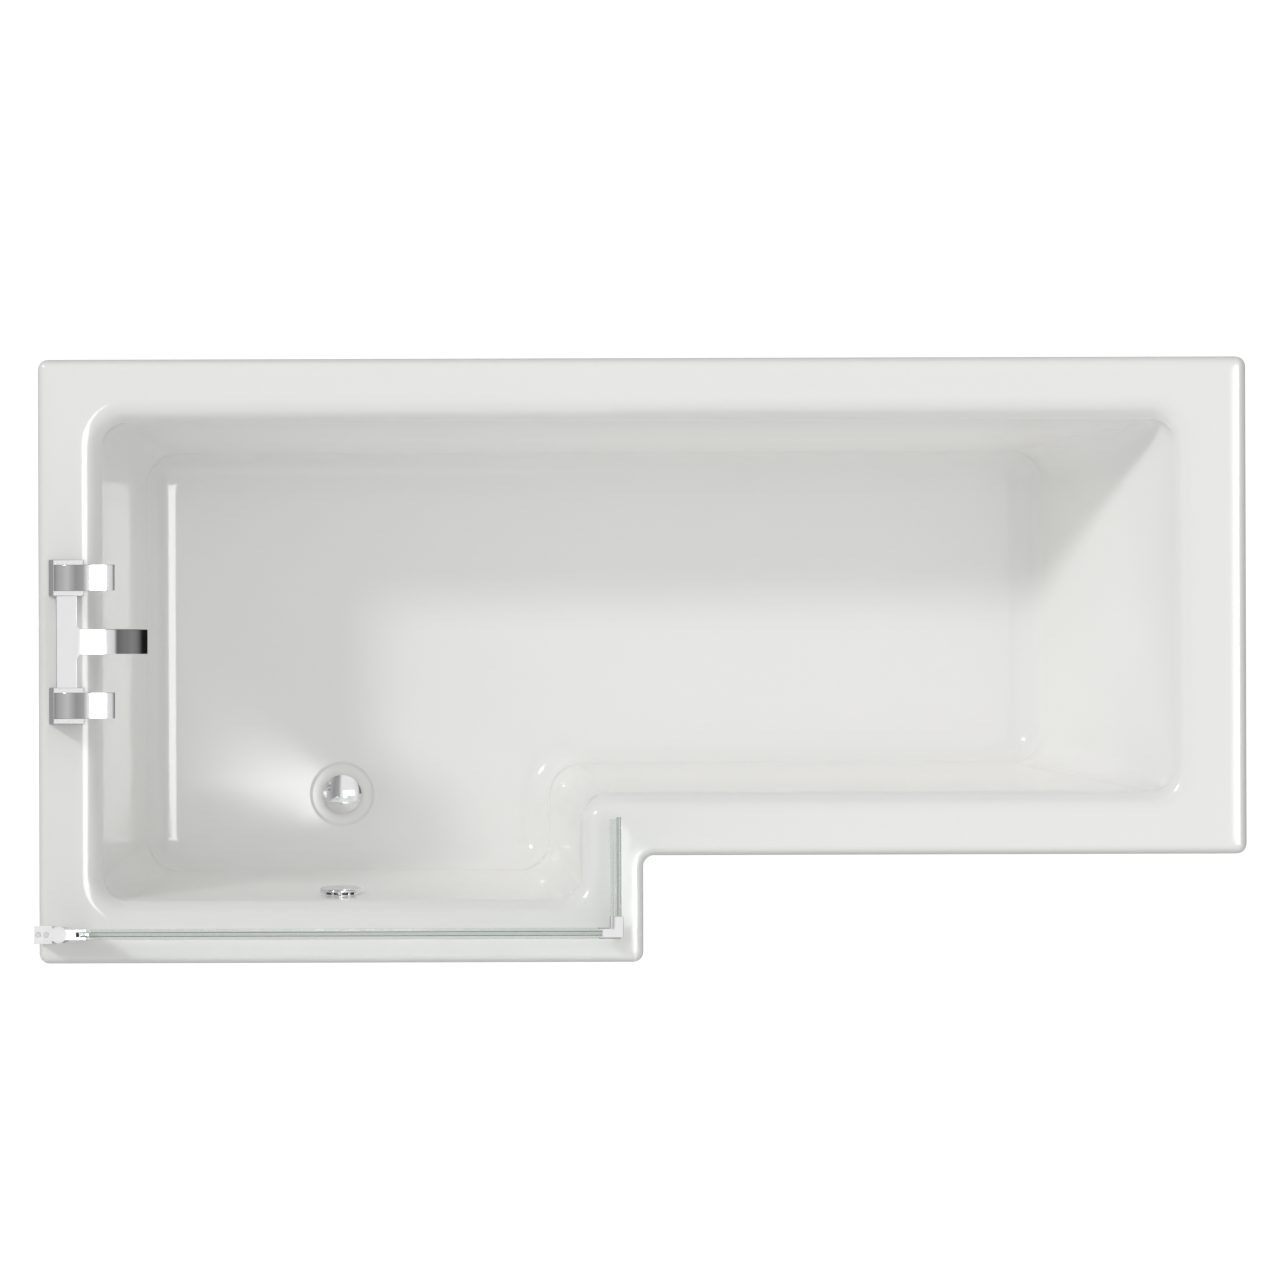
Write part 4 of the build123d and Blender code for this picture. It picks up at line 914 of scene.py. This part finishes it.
def paint_world():
    """A pale sky that lights the bath, and a studio of light and dark bands that the gloss reflects."""
    world = bpy.data.worlds.new("studio")
    world.use_nodes = True
    tree = world.node_tree
    given = tree.nodes.new("ShaderNodeTexCoord")
    split, turn = sky_angles(tree, given)
    light = ramp(tree, SKY_BY_HEIGHT)
    link(tree, split, "Z", light, "Fac")
    bands = ramp(tree, [((a + 90) / 180, radiance / CARD_RADIANCE) for a, radiance in REFLECTED_BANDS])
    link(tree, turn, 0, bands, "Fac")
    low_dark = tree.nodes.new("ShaderNodeMapRange")
    set_range(low_dark, 0.15, 0.55, 0.15, CARD_RADIANCE)
    link(tree, split, "Z", low_dark, "Value")
    limit = tree.nodes.new("ShaderNodeMapRange")
    set_range(limit, *CARD_EDGE, 1.0, ROOM / CARD_RADIANCE)
    sideways = math_node(tree, "ABSOLUTE", (split, "Y"), 0)
    link(tree, sideways, 0, limit, "Value")
    card = math_node(tree, "MINIMUM", (bands, "Color"), (limit, "Result"))
    reflected = math_node(tree, "MULTIPLY", (card, 0), (low_dark, "Result"))
    path = tree.nodes.new("ShaderNodeLightPath")
    direct = math_node(tree, "LESS_THAN", (path, "Diffuse Depth"), 0.5)
    mirrored = math_node(tree, "MULTIPLY", (path, "Is Glossy Ray"), (direct, 0))
    by_ray = tree.nodes.new("ShaderNodeMix")
    link(tree, mirrored, 0, by_ray, "Factor")
    link(tree, light, "Color", by_ray, "A")
    link(tree, reflected, 0, by_ray, "B")
    seen = tree.nodes.new("ShaderNodeMix")
    seen.inputs["B"].default_value = ROOM
    link(tree, in_view(tree), 0, seen, "Factor")
    link(tree, by_ray, "Result", seen, "A")
    link(tree, seen, "Result", tree.nodes["Background"], "Strength")
    tree.nodes["Background"].inputs["Color"].default_value = (1, 1, 1, 1)
    bpy.context.scene.world = world


# Degrees from the zenith towards the head end, and the radiance reflected from there.
CARD_RADIANCE, ROOM = 9.0, 0.95
# How far to the side, as Y of the direction, the card begins and ends to fade.
CARD_EDGE = (0.1, 0.16)
REFLECTED_BANDS = [(-90, 0.25), (-62, 0.38), (-38, 0.6), (-22, 0.34), (-9, 0.42), (-1, 0.93), (2.5, 0.95),
                   (5, CARD_RADIANCE), (28, CARD_RADIANCE), (32, 0.9), (42, 0.8), (46, 0.14), (60, 0.24),
                   (75, 0.6), (90, 0.6)]
# Height of a direction above the horizon, as its Z, and the light that comes from there.
SKY_BY_HEIGHT = [(0.0, 0.0), (0.3, 0.1), (0.42, 0.89), (1.0, 0.665)]
paint_world()

# %% Camera
lens = bpy.data.cameras.new("far lens")
lens.sensor_width, lens.lens = 36.0, 1700.0
lens.clip_start, lens.clip_end = 1.0, 300.0
camera = bpy.data.objects.new("far camera", lens)
bpy.context.scene.collection.objects.link(camera)
CAMERA_PLACE, CAMERA_TARGET = Vector((-0.370, -0.385, 85.66)), Vector((-0.0034, 0.028, 0.56))
CAMERA_UP = Vector((0.003, 1, 0))
back = (CAMERA_PLACE - CAMERA_TARGET).normalized()
right = CAMERA_UP.cross(back).normalized()
up = back.cross(right)
camera.matrix_world = Matrix((right, up, back)).transposed().to_4x4()
camera.location = CAMERA_PLACE
bpy.context.scene.camera = camera
bpy.context.scene.view_settings.view_transform = "Standard"
